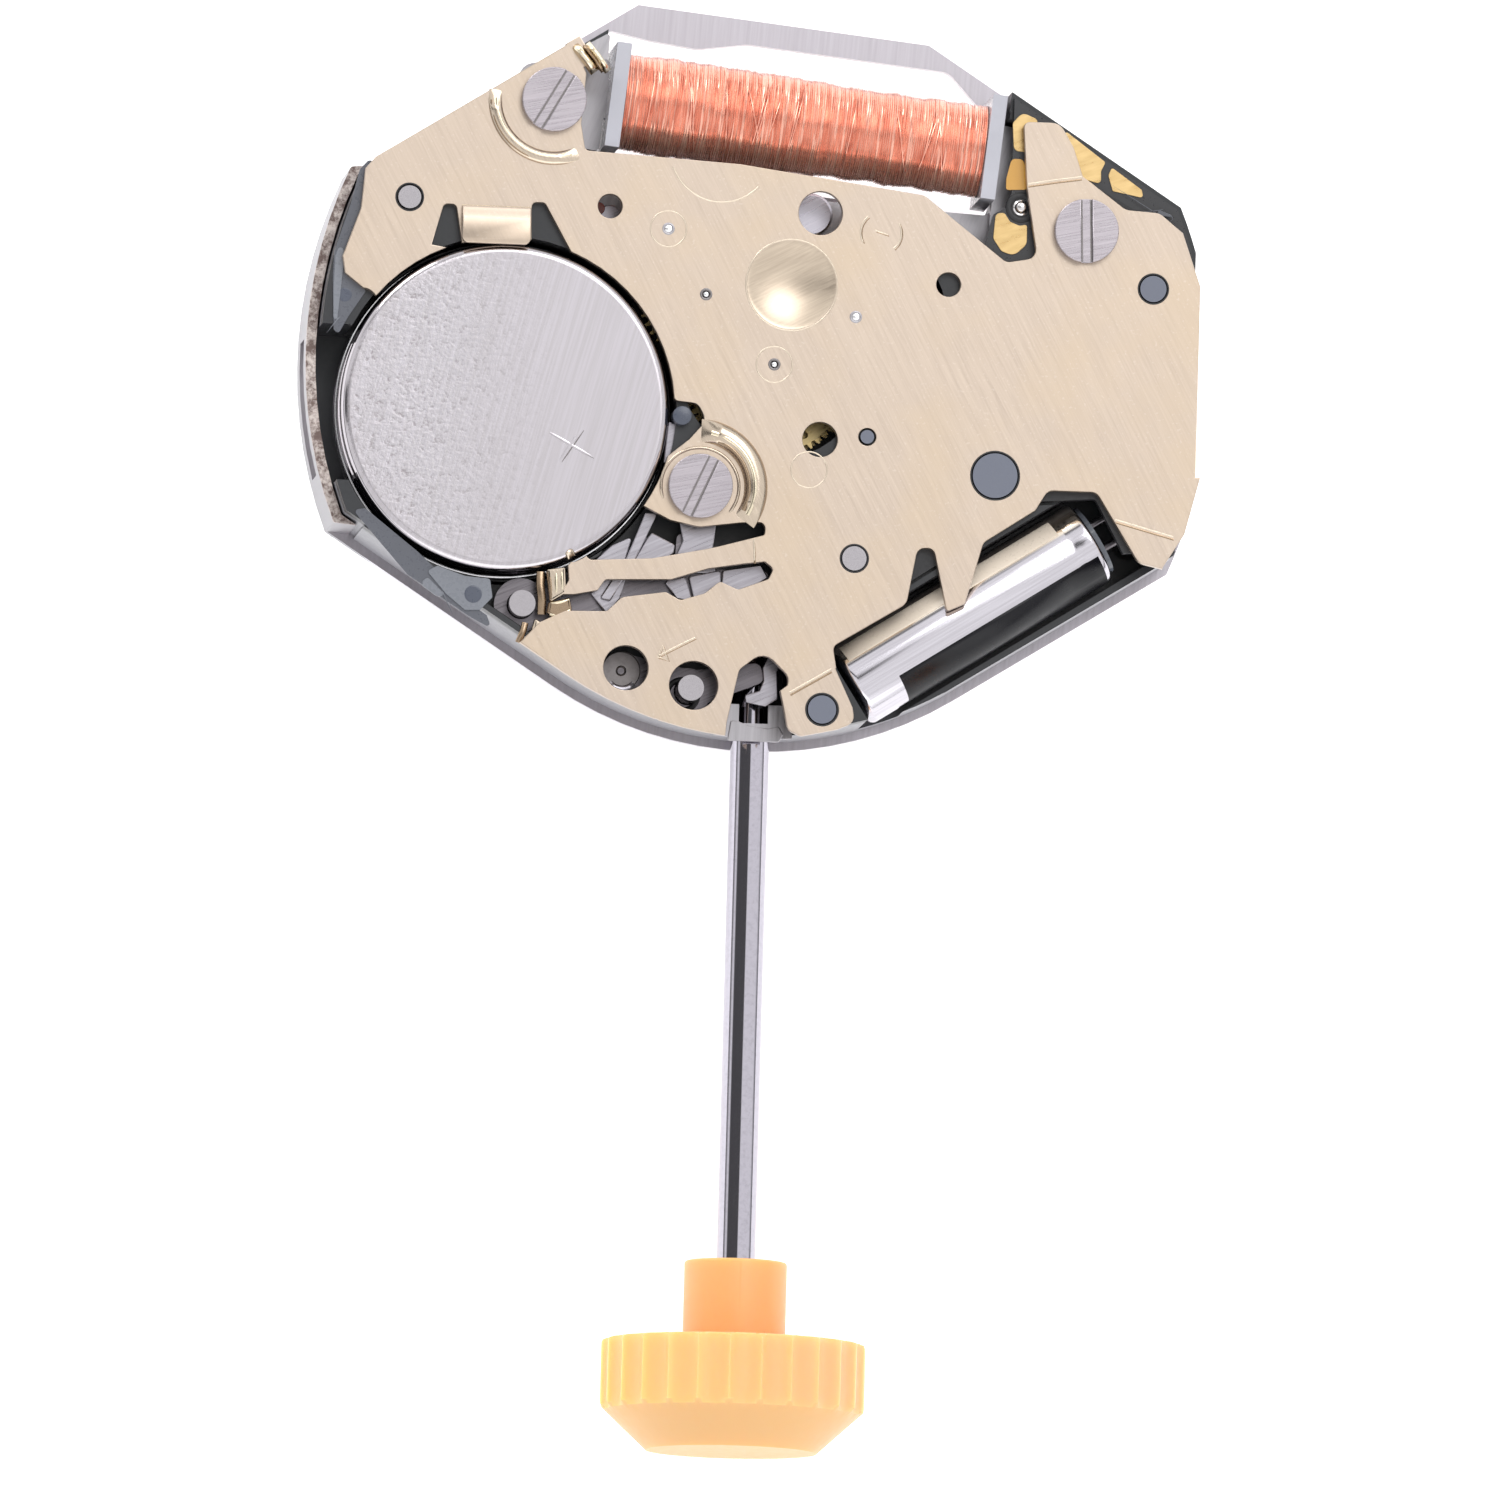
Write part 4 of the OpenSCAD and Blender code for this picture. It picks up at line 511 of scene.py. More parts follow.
def outlines_at(node, z):
    """Closed outlines of a CAD node's flat faces at height z, in mm."""
    bm = bmesh.new()
    bm.from_mesh(NODES[node].data)
    bmesh.ops.remove_doubles(bm, verts=bm.verts, dist=2e-7)
    # a dict keeps the faces in their order, which a set would not
    flat = dict.fromkeys(f for f in bm.faces if all(abs(v.co.z - z * MM) < 2e-6 for v in f.verts))
    after = {}
    for f in flat:
        for loop in f.loops:
            if sum(g in flat for g in loop.edge.link_faces) == 1:
                after.setdefault(loop.vert.index, []).append(loop.link_loop_next.vert)
    places = {v.index: (v.co.x / MM, v.co.y / MM) for v in bm.verts}
    loops = []
    while after:
        start = next(iter(after))
        here, line = start, []
        while True:
            line.append(places[here])
            ahead = after[here].pop()
            if not after[here]:
                del after[here]
            here = ahead.index
            if here == start:
                break
        loops.append(line)
    bm.free()
    return loops


def sheet(name, loops, z0, z1, edge, resolution=1):
    """Flat sheet with softened edges, from outlines in mm; holes are outlines inside others."""
    curve = bpy.data.curves.new(name, "CURVE")
    curve.dimensions = "2D"
    curve.fill_mode = "BOTH"
    curve.extrude = (z1 - z0) / 2 - edge
    curve.bevel_depth = edge
    curve.bevel_resolution = resolution
    curve.offset = -edge
    for loop in loops:
        spline = curve.splines.new("POLY")
        spline.points.add(len(loop) - 1)
        for p, (x, y) in zip(spline.points, loop):
            p.co = (x, y, 0, 1)
        spline.use_cyclic_u = True
    temp = add_object(name + ".outline", curve)
    bpy.context.view_layer.update()
    mesh = bpy.data.meshes.new_from_object(temp.evaluated_get(bpy.context.evaluated_depsgraph_get()))
    bpy.data.objects.remove(temp)
    bpy.data.curves.remove(curve)
    mesh.transform(Matrix.Scale(MM, 4) @ Matrix.Translation((0, 0, (z0 + z1) / 2)))
    mesh.name = name
    face_outward(mesh, 1e-8)
    return add_object(name, mesh)


def rounded(points, steps=6):
    """Polygon from (x, y, radius) corners."""
    out = []
    n = len(points)
    for i in range(n):
        a, b, c = Vector(points[i - 1][:2]), Vector(points[i][:2]), Vector(points[(i + 1) % n][:2])
        r = points[i][2]
        u, v = (a - b).normalized(), (c - b).normalized()
        half = math.acos(max(-1, min(1, u.dot(v)))) / 2
        mid = b + (u + v).normalized() * r / math.sin(half)
        s, e = b + u * r / math.tan(half) - mid, b + v * r / math.tan(half) - mid
        a0 = math.atan2(s.y, s.x)
        # the short way round, between -180 and 180 degrees
        turn = (math.degrees(math.atan2(e.y, e.x) - a0) + 540) % 360 - 180
        for k in range(steps + 1):
            t = a0 + math.radians(turn) * k / steps
            out.append((mid.x + r * math.cos(t), mid.y + r * math.sin(t)))
    return out


def circle_loop(x, y, r, n=48):
    return [(x + r * math.cos(2 * math.pi * i / n), y + r * math.sin(2 * math.pi * i / n)) for i in range(n)]


def neighbours(path, i, closed=False):
    """Points before and after point i of a path, or the point itself at an open end."""
    n = len(path)
    after = (i + 1) % n if closed else min(i + 1, n - 1)
    return Vector(path[i - 1 if i or closed else 0]), Vector(path[after])


def tube(name, points, radius, material, sides):
    """Round wire through points in mm."""
    verts = []
    for i, p in enumerate(points):
        before, after = neighbours(points, i)
        along = (after - before).normalized()
        side = along.cross(Vector((0, 0, 1)))
        if side.length < 1e-4:
            side = along.cross(Vector((1, 0, 0)))
        side.normalize()
        up = side.cross(along)
        for k in range(sides):
            a = 2 * math.pi * k / sides
            verts.append((Vector(p) + side * radius * math.cos(a) + up * radius * math.sin(a)) * MM)
    return finish_mesh(new_object(name, verts, tunnel(len(points), sides)), material)


def ridge(name, path, half, height, z, slot, material, closed=False, taper=0, sides=8, body="movement"):
    """Rounded bead along a path of (x, y) points on the surface at z."""
    verts = []
    n = len(path)
    for i, (x, y) in enumerate(path):
        before, after = neighbours(path, i, closed)
        along = (after - before).normalized()
        side = Vector((-along.y, along.x))
        size = min(1.0, (min(i, n - 1 - i) + 0.15) / taper) if taper else 1.0
        for k in range(sides + 1):
            t = math.pi * k / sides
            p = Vector((x, y)) + side * half * math.cos(t)
            verts.append(mm(p.x, p.y, z - SINK + (height * size + SINK) * math.sin(t)))
    obj = new_object(name, verts, tunnel(n, sides + 1, closed))
    face_outward(obj.data)
    return finish_mesh(obj, material, 60, body)


def plate(name, corners, z, t, material, edge=0.02, body="movement"):
    """Flat piece from (x, y) or (x, y, radius) corners."""
    outline = rounded([tuple(c) + (0.05,) if len(c) == 2 else c for c in corners], 5)
    return finish_mesh(sheet(name, [outline], z, z + t, edge), material, body=body)


def folded(name, outline, steps, t, material, edge=0.03):
    """Sheet bent across its Y direction: steps lists (y, height) along the fold."""
    obj = sheet(name, [outline], 0, t, min(edge, t / 3))
    bm = bmesh.new()
    bm.from_mesh(obj.data)
    for y, _ in steps:
        every = bm.verts[:] + bm.edges[:] + bm.faces[:]
        bmesh.ops.bisect_plane(bm, geom=every, plane_co=mm(0, y, 0), plane_no=(0, 1, 0))
    for v in bm.verts:
        y = v.co.y / MM
        for (y0, h0), (y1, h1) in zip(steps, steps[1:]):
            if y0 <= y <= y1:
                v.co.z += (h0 + (h1 - h0) * (y - y0) / (y1 - y0)) * MM
                break
    bm.to_mesh(obj.data)
    bm.free()
    return finish_mesh(obj, material, 25)


# maps +Z of a turned form to +X
LYING = Matrix.Rotation(math.pi / 2, 4, "Y")


def turn_z(x, y, z, degrees=0.0):
    return Matrix.Translation(mm(x, y, z)) @ Matrix.Rotation(math.radians(degrees), 4, "Z")


# ---- materials of the CAD nodes

PAINT = (
    (SMOKED, "main_plate"),
    (DIAL_SHEET, "dial_plate"),
    (GILT, "cover_plate"),
    (CELL_STEEL, "battery_can battery_cap"),
    (SEAL, "battery_gasket"),
    (BLACK_FILM, "battery_liner board_insulator"),
    (GILT_BRIGHT, "minus_contact"),
    (BOARD_MASK, "circuit_board"),
    (CHIP, "circuit_chip"),
    (CHROME, "crystal_can"),
    (HEADER_GLASS, "crystal_header"),
    (CLEAR_PLASTIC, "coil_bobbin"),
    (COPPER, "coil_winding"),
    (CORE_ALLOY, "coil_core stator"),
    (MAGNET, "rotor_magnet"),
    (BRASS, "rotor_pinion fifth_wheel second_wheel third_wheel centre_wheel"),
    (BRASS, "minute_wheel hour_wheel setting_wheel screw_bushes"),
    (HARD_STEEL, "fifth_pinion second_arbor third_pinion cannon_pinion minute_pinion"),
    (HARD_STEEL, "clutch_wheel lever_pins guide_pins"),
    (STEM_STEEL, "stem"),
    (KNOB, "stem_knob"),
    (STEEL_SHEET, "stem_cover"),
    (LEVER_DARK, "setting_lever yoke reset_lever lever_spring crystal_leads"),
    (SCREW_STEEL, "plate_screws"),
)
for material, names in PAINT:
    for name in names.split():
        data = NODES[name].data
        data.materials.clear()
        data.materials.append(material)
        data.shade_smooth()
        data.set_sharp_from_angle(angle=math.radians(30))

# ---- coil


def wound_radius(f):
    """Radius of the winding at fraction f of its length, fullest near the left end."""
    return COIL_R - 0.06 + 0.05 * math.exp(-(((f - 0.2) / 0.28) ** 2)) - 0.035 * f


def make_winding():
    """Layered wire: one ridge for each visible turn, uneven from turn to turn."""
    rng = random.Random(7)
    turns, sides = 176, 56
    pitch, end = COIL_L / turns, COIL_L / 2 - 0.004
    lie = turn_z(*COIL_MID, COIL_Z, COIL_ANGLE)
    place = lie @ LYING
    verts, rings = [], []
    jitter = 0.0
    for t in range(turns):
        u = -COIL_L / 2 + COIL_L * (t + 0.5) / turns
        jitter = 0.72 * jitter + rng.uniform(-0.012, 0.012)
        lift = wound_radius((t + 0.5) / turns) + jitter + rng.uniform(-0.006, 0.006)
        sway = rng.uniform(-0.35, 0.35)
        for du, dr in ((-0.45, -0.016), (0.0, 0.0), (0.45, -0.016)):
            rings.append(range(len(verts), len(verts) + sides))
            for k in range(sides):
                a = 2 * math.pi * k / sides
                wave = noise.noise(Vector((u * 2.2, math.cos(a) * 1.4, math.sin(a) * 1.4))) * 0.022
                shift = noise.noise(Vector((t * 0.31, math.cos(a) * 1.1, math.sin(a) * 1.1 + 7))) * 0.03
                r = min(COIL_R - 0.002, lift + dr + wave - 0.012 * math.cos(4 * a))
                z = max(-end, min(end, u + du * pitch + shift * (0.4 + sway)))
                verts.append(place @ mm(r * math.cos(a), r * math.sin(a), z))
    ends = [tuple(rings[0][::-1]), tuple(rings[-1])]
    obj = new_object("coil_windings", verts, skin(rings) + ends)
    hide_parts("coil_winding")
    finish_mesh(obj, COPPER, 60)
    for i in range(16):
        start = rng.uniform(-3.5, 3.3)
        slant = rng.choice((-1, 1)) * rng.uniform(0.08, 0.4)
        a0, a1 = rng.uniform(-75, -20), rng.uniform(20, 80)
        points = []
        for k in range(17):
            a = math.radians(90 + a0 + (a1 - a0) * k / 16)
            u = start + slant * k / 16
            r = min(COIL_R - 0.015, wound_radius(u / COIL_L + 0.5) + 0.012)
            points.append((lie @ mm(u, r * math.cos(a), r * math.sin(a))) / MM)
        tube(f"stray_turn_{i:02d}", points, 0.013, COPPER, 6)


make_winding()

# ---- cell, can and turned parts


def make_cell_can():
    """Cell with its shoulder and crimp, and the generic plus on its face."""
    x, y = CELL_XY
    top, base = CELL_TOP, CELL_BOTTOM
    neck, face = CELL_R - 0.035, CELL_TOP - 0.006
    profile = [(0, face), (2.0, face), (neck - 0.2, face)]
    profile += arc(neck - 0.18, top - 0.186, 0.18, 90, 0, 12)
    profile += [(neck, top - 0.5), (CELL_R - 0.008, top - 0.53), (CELL_R, top - 0.6), (CELL_R, base + 0.2)]
    profile += arc(3.2, base + 0.2, 0.2, 0, -90, 6)
    profile += [(2.95, base), (2.65, base + 0.06), (2.65, base + 0.9), (0, base + 0.9)]
    obj = lathe("cell_can", profile, 192, turn_z(x, y, 0), "cell_steel", CELL_STEEL)
    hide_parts("battery_can")
    low = top - 1.09
    crimp = [(3.37, low), (3.43, low + 0.02), (3.447, low + 0.06), (3.42, low + 0.1), (3.37, low + 0.1)]
    # the crimp ring gets the bright pivot metal: a painted highlight along the can's side
    lathe("cell_collar", crimp + crimp[:1], 192, turn_z(x, y, 0), "cell_steel", PIVOT)
    for i, (turn, reach) in enumerate(((-28, 0.5), (57, 0.4))):
        a = math.radians(turn)
        stroke = [(-4.14 + reach * k * math.cos(a), -1.81 + reach * k * math.sin(a)) for k in (-1, -0.5, 0, 0.5, 1)]
        shade = [(px + 0.05, py - 0.03) for px, py in stroke]
        ridge(f"plus_stroke_{i}", stroke, 0.05, 0.004, face, "cell_steel", CELL_STEEL, taper=1)
        ridge(f"plus_shade_{i}", shade, 0.022, 0.003, face, "cell_steel", DARK_STEEL, taper=1)


make_cell_can()


def make_crystal():
    """Drawn can with a rolled end, a black film round one flank as a painted dark reflection and a pale strip on the
    other as a painted bright reflection.
    """
    r, half = CRYSTAL_R, CRYSTAL_L / 2
    lie = turn_z(*CRYSTAL_MID, CRYSTAL_Z, CRYSTAL_ANGLE)
    profile = [(0, -half + 0.004), (r - 0.24, -half)] + arc(r - 0.16, -half + 0.16, 0.16, -90, 0, 8)
    profile += [(r, half - 0.55), (r - 0.012, half - 0.5), (r - 0.012, half - 0.42), (r, half - 0.36)]
    profile.append((r, half - 0.14))
    profile += arc(r - 0.1, half - 0.1, 0.1, 0, 90, 5) + [(r - 0.15, half - 0.4), (0, half - 0.4)]
    obj = lathe("crystal_tube", profile, 96, lie @ LYING, "bright_can", CHROME)
    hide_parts("crystal_can")
    # both strips are painted reflections: the black film a dark one, the pale strip a bright one
    # name, first angle and span from the top, free ends, slot, material
    strips = (
        ("crystal_dark_reflection", -24, -120, (0.92, 0.13), "black_film", DARK_REFLECTION_FILM),
        ("crystal_painted_sheen", 28, 30, (0.2, 0.6), "bright_can", PAINTED_SHEEN),
    )
    steps, out = 24, r + 0.006
    for name, start, span, ends, slot, material in strips:
        verts = []
        for u in (-half + ends[0], half - ends[1]):
            for k in range(steps + 1):
                a = math.radians(start + span * k / steps)
                verts.append(lie @ mm(u, out * math.sin(a), out * math.cos(a)))
        faces = [(k, k + 1, steps + 2 + k, steps + 1 + k) for k in range(steps)]
        strip = new_object(name, verts, faces)
        thick = strip.modifiers.new("thick", "SOLIDIFY")
        thick.thickness, thick.offset = 0.008 * MM, 0.0
        finish_mesh(strip, material, 40)


make_crystal()


def make_screw(index, x, y, turn):
    """Slotted head: a disc with two raised halves whose edges are softened."""
    height, half, deep = 0.2, 0.115, 0.1
    split = math.degrees(math.asin(half / SCREW_R))
    place = turn_z(x, y, COVER_TOP, turn)
    halves = []
    for side in (0, 180):
        ring = arc(0, 0, SCREW_R, side + split, side + 180 - split, 48)
        halves.append(sheet(f"screw_{index}_half_{side}", [ring], height - deep, height, 0.02, 2))
    disc = sheet(f"screw_{index}_disc", [circle_loop(0, 0, SCREW_R, 96)], 0, height - deep + 0.004, 0.004)
    groove = []
    # the wider strip along the slot's bottom is dark steel: painted shade in the slot's corners
    for width, level, label in ((half, 0.006, "wall"), (half * 0.66, 0.012, "floor")):
        reach = math.sqrt(SCREW_R**2 - width**2) - 0.01
        strip = [(reach, -width), (reach, width), (-reach, width), (-reach, -width)]
        groove.append(sheet(f"screw_{index}_slot_{label}", [strip], height - deep, height - deep + level, 0.001))
    for piece in halves + [disc] + groove:
        piece.data.transform(place)
        finish_mesh(piece, DARK_STEEL if piece is groove[0] else SCREW_STEEL, 30)
    return disc


discs = [make_screw(i, *s) for i, s in enumerate(SCREWS)]
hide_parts("plate_screws")

# ---- knob


def make_knob_mesh():
    """Fluted knob on a collar; sections are (radius, distance from the stem's side)."""
    per = 12
    n = FLUTES * per
    body_l = COLLAR_L + KNOB_BODY + KNOB_CHAMFER
    end_r = KNOB_R - KNOB_CHAMFER * CHAMFER_SLOPE
    place = Matrix.Translation(mm(STEM_X, KNOB_TOP, STEM_Z)) @ Matrix.Rotation(math.pi / 2, 4, "X")
    sections = [(0.42, 0.0), (COLLAR_R - 0.06, 0.0)]
    for a in map(math.radians, (30, 60, 90)):
        sections.append((COLLAR_R - 0.06 + 0.06 * math.sin(a), 0.06 - 0.06 * math.cos(a)))
    sections += [(COLLAR_R, COLLAR_L - 0.05), (COLLAR_R + 0.02, COLLAR_L - 0.012), (COLLAR_R + 0.06, COLLAR_L)]
    start = len(sections)
    edge = ((-0.32, 0.0), (-0.1, 0.004), (-0.03, 0.03), (0.0, 0.1), (0.0, 0.2))
    sections += [(KNOB_R + dr, COLLAR_L + ds) for dr, ds in edge]
    steps = 22
    first = COLLAR_L + 0.3
    for i in range(steps + 1):
        s = first + (body_l - first) * i / steps
        sections.append((min(KNOB_R, KNOB_R - (s - body_l + KNOB_CHAMFER) * CHAMFER_SLOPE), s))
    sections += [(end_r - 0.05, body_l), (end_r * 0.6, body_l), (0.0, body_l)]
    verts, rings = [], []
    for index, (r, s) in enumerate(sections):
        count = n if r else 1
        rings.append(range(len(verts), len(verts) + count))
        for k in range(count):
            a = 2 * math.pi * k / n
            t = (k % per) / per
            flute = KNOB_R - FLUTE_DEPTH * (1 - (2 * t - 1) ** 2) ** 0.8
            rr = min(r, flute) if index >= start else r
            verts.append(place @ mm(rr * math.cos(a), rr * math.sin(a), s))
    obj = new_object("setting_knob", verts, skin(rings) + [tuple(rings[0][::-1])])
    face_outward(obj.data)
    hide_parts("stem_knob")
    finish_mesh(obj, KNOB, 24, "stem")


make_knob_mesh()

# ---- cover plate


def make_cover():
    """Gilt plate redrawn from its own outline with softened edges, and the dimple in it."""
    cover = sheet("cover_sheet", outlines_at("cover_plate", COVER_BOTTOM), COVER_BOTTOM, COVER_TOP, 0.018)
    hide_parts("cover_plate")
    finish_mesh(cover, GILT)
    x, y = DIMPLE_XY
    ball = (DIMPLE_R**2 + DIMPLE_DEPTH**2) / (2 * DIMPLE_DEPTH)
    wide = math.degrees(math.asin(DIMPLE_R / ball))
    top, t = COVER_TOP, COVER_TOP - COVER_BOTTOM
    upper = arc(0, top + ball - DIMPLE_DEPTH, ball, -90, -90 + wide, 20)[:-1]
    rim = [(DIMPLE_R + dr, top - dz) for dr, dz in ((0.005, 0.004), (0.03, 0.001), (0.03, 0.05))]
    lower = arc(0, top + ball - DIMPLE_DEPTH - t + 0.03, ball, -90 + wide, -90, 12)
    lathe("cover_dimple", upper + rim + lower, 96, turn_z(x, y, 0), "gilt_sheet", GILT_DISH, 30)


make_cover()


def dress_cover():
    """Beads, clip, folds, rings and small marks of the gilt plate."""
    top = COVER_TOP
    left, land = SCREWS[0][:2], SCREWS[2][:2]

    def bead(name, path, half, height, z, material, **more):
        ridge(name, path, half, height, z, "gilt_sheet", material, **more)

    # name, centre, radius, angles, steps, half width, height, lift, material, taper, sides
    beads = (
        ("land_bead", land, 1.15, -36, 90, 60, 0.24, 0.17, 0.0, GILT_SMOOTH, 9, 18),
        ("land_shade", land, 1.0, -28, 70, 40, 0.05, 0.04, 0.12, GILT_SHADE, 9, 8),
        ("land_shine", land, 1.12, -30, 80, 40, 0.05, 0.025, 0.155, GILT_BRIGHT, 9, 8),
        ("land_lip", land, 0.8, -40, 200, 60, 0.035, 0.025, 0.0, GILT_SMOOTH, 3, 8),
        ("left_bead", left, 1.2, 172, 296, 60, 0.14, 0.085, 0.0, GILT_SMOOTH, 9, 16),
        ("left_bead_shade", left, 1.27, 182, 262, 40, 0.035, 0.03, 0.045, GILT_SHADE, 9, 8),
        ("left_bead_shine", left, 1.17, 180, 290, 40, 0.03, 0.02, 0.07, GILT_BRIGHT, 9, 8),
    )
    for name, centre, r, a0, a1, steps, half, height, lift, material, taper, sides in beads:
        bead(name, arc(*centre, r, a0, a1, steps), half, height, top + lift, material, taper=taper, sides=sides)
    # clip that holds the cell, with painted highlights along its edges
    clip = rounded([(-6.5, 2.25, 0.14), (-5.08, 2.25, 0.14), (-5.08, 3.03, 0.02), (-6.5, 3.03, 0.02)], 6)
    bend = [(2.2, 0.03), (2.34, 0.05), (2.76, 0.06), (2.82, 0.04), (2.9, 0.015), (2.98, -0.02), (3.1, -0.045)]
    piece = folded("cell_clip", clip, bend, 0.11, GILT)
    piece.data.transform(Matrix.Translation(mm(0, 0, top)))
    bead("clip_line", [(-6.5 + 1.42 * k / 8, 3.03) for k in range(9)], 0.018, 0.012, top, GILT_BRIGHT)
    bead("clip_line_low", [(-6.48 + 1.38 * k / 8, 2.85) for k in range(9)], 0.02, 0.01, top + 0.125, GILT_BRIGHT)
    # rolled tab beside the left screw, drawn as beads with painted highlights and painted shade
    rolls = ((0.0, 0.1, 0.24, GILT_BRIGHT), (0.17, 0.05, 0.16, GILT_SHADE), (0.27, 0.08, 0.27, GILT_BRIGHT))
    for i, (dx, half, height, material) in enumerate(rolls):
        path = [(-4.3 + dx + 0.02 * k + 0.3 * k / 8, 6.44 + dx * 0.1 - 0.56 * k / 8) for k in range(9)]
        bead(f"rolled_tab_{i}", path, half, height, 2.9, material, taper=2, sides=10)
    # curled end pieces beside the spring arm: flat pieces and beads with painted highlights (gilt_bright) and painted
    # shade (gilt_shade)
    curls = (
        ("roll_streak_0", [(-4.25, -4.38), (-4.24, -4.6), (-4.22, -4.86)], 0.035, 0.03, 2.94, GILT_BRIGHT),
        ("roll_streak_1", [(-4.36, -4.4), (-4.36, -4.66), (-4.34, -4.93)], 0.04, 0.03, 2.94, GILT_BRIGHT),
        ("roll_streak_2", [(-4.49, -4.42), (-4.47, -4.7), (-4.43, -5.0)], 0.04, 0.02, 2.94, GILT_SHADE),
        ("curl_shade", [(-4.66, -4.42), (-4.66, -4.7), (-4.62, -5.0), (-4.62, -5.3)], 0.09, 0.06, 2.76, GILT_SHADE),
        ("curl_edge_0", [(-4.44, -5.08), (-4.25, -5.05), (-4.08, -4.99)], 0.03, 0.03, 2.9, GILT_BRIGHT),
        ("curl_edge_1", [(-4.46, -5.3), (-4.34, -5.34), (-4.05, -5.2)], 0.035, 0.03, 2.9, GILT_BRIGHT),
        ("foil_streak_0", [(-4.7, -5.48), (-4.74, -5.7), (-4.8, -5.94)], 0.04, 0.03, 2.88, GILT_SHADE),
        ("foil_streak_1", [(-4.6, -5.55), (-4.64, -5.75), (-4.7, -5.98)], 0.03, 0.03, 2.88, GILT_BRIGHT),
        ("curl_strip", [(-4.95, -5.48), (-4.98, -5.62), (-5.03, -5.76), (-5.08, -5.9)], 0.07, 0.06, 2.76, GILT_SHADE),
        ("arm_tip", [(-4.16, -3.96), (-4.1, -4.02), (-4.04, -4.12)], 0.1, 0.1, 2.9, GILT_SMOOTH),
    )
    flats = (
        ("curl_roll", [(-4.56, -4.38, 0.04), (-4.17, -4.32, 0.04), (-4.13, -4.86, 0.04), (-4.47, -5.07, 0.04)],
            2.76, 0.19, GILT_SMOOTH),
        ("curl_low", [(-4.49, -5.05, 0.03), (-4.06, -4.94, 0.03), (-4.0, -5.21, 0.05), (-4.36, -5.4, 0.06),
            (-4.53, -5.28, 0.04)], 2.76, 0.15, GILT_SHADE),
        ("curl_foil", [(-4.77, -5.39, 0.04), (-4.53, -5.52, 0.04), (-4.63, -6.02, 0.04), (-4.9, -5.95, 0.04),
            (-4.85, -5.7, 0.04)], 2.74, 0.15, GILT_SMOOTH),
    )
    for name, corners, z, t, material in flats:
        plate(name, corners, z, t, material, 0.06)
    for name, path, half, height, z, material in curls:
        bead(name, path, half, height, z, material, taper=1, sides=12)
    # rings pressed round pivots and beside the inspection hole
    rings = ((-2.25, 2.71, 0.37), (0.0, 0.0, 0.37), (0.77, -2.14, 0.37), (*DIMPLE_XY, 0.94))
    for i, (x, y, r) in enumerate(rings):
        bead(f"pressed_ring_{i}", circle_loop(x, y, r, 64), 0.018, 0.008, top, GILT_LINE, closed=True)
    bead("pressed_arc", arc(-1.2, 4.35, 1.05, 200, 318, 30), 0.02, 0.008, top, GILT_LINE)
    # pivots in their oil rings: x, y and whether the ring is dark
    pivots = ((-2.25, 2.71, 0), (-1.44, 1.39, 1), (1.65, 1.04, 0), (0.0, 0.0, 1))
    for i, (x, y, dark) in enumerate(pivots):
        r, material = (0.05, DARK_STEEL) if dark else (0.075, CORE_ALLOY)
        bead(f"pivot_ring_{i}", circle_loop(x, y, 0.105, 36), 0.03, 0.006, top, material, closed=True)
        profile = [(0, 0.012), (r * 0.6, 0.01), (r, 0.0), (0, -0.02)]
        lathe(f"pivot_end_{i}", profile, 24, turn_z(x, y, top), "hard_steel", PIVOT, 50)
    # painted shade: black rings round the moulded pegs, for the dark gaps
    gaps = ((-7.58, 3.16, 0.285), (1.75, -3.93, 0.285), (4.6, -2.12, 0.5), (7.76, 1.85, 0.31), (1.17, -7.06, 0.33))
    for i, (x, y, r) in enumerate(gaps):
        bead(f"gap_shade_ring_{i}", circle_loop(x, y, r, 48), 0.02, 0.003, top, BLACK_FILM, closed=True)
    folds = (
        ("fold_foot", [(0.5, -6.73), (0.93, -6.47), (1.34, -6.22)]),
        ("fold_lug", [(7.1, -2.93), (7.6, -3.06), (8.3, -3.24)]),
        ("fold_tab", [(5.12, 3.92), (5.66, 4.02), (6.22, 4.11)]),
        ("fold_arm", [(-0.33, -3.62), (-0.31, -3.85), (-0.3, -4.05)]),
    )
    for name, path in folds:
        bead(name, path, 0.022, 0.008, top, GILT_LINE)
        bead(name + "_shade", [(x + 0.01, y - 0.06) for x, y in path], 0.03, 0.004, top, GILT_SHADE)
    # plain marks: a minus in brackets and an arrow
    marks = [
        [(2.0, 2.84), (2.12, 2.8), (2.26, 2.76)],
        arc(2.12, 2.8, 0.42, 130, 210, 10),
        arc(2.12, 2.8, 0.42, -50, 30, 10),
        [(-1.48, -5.68), (-1.8, -5.85), (-2.2, -6.07)],
        [(-2.24, -6.1), (-2.14, -5.86), (-2.02, -6.16), (-2.24, -6.1)],
    ]
    for i, path in enumerate(marks):
        bead(f"mark_{i}", path, 0.02, 0.008, top, GILT_LINE)
        bead(f"mark_shade_{i}", [(x + 0.03, y - 0.03) for x, y in path], 0.014, 0.006, top, GILT_SHADE)


dress_cover()

# ---- board, plastic and levers in view


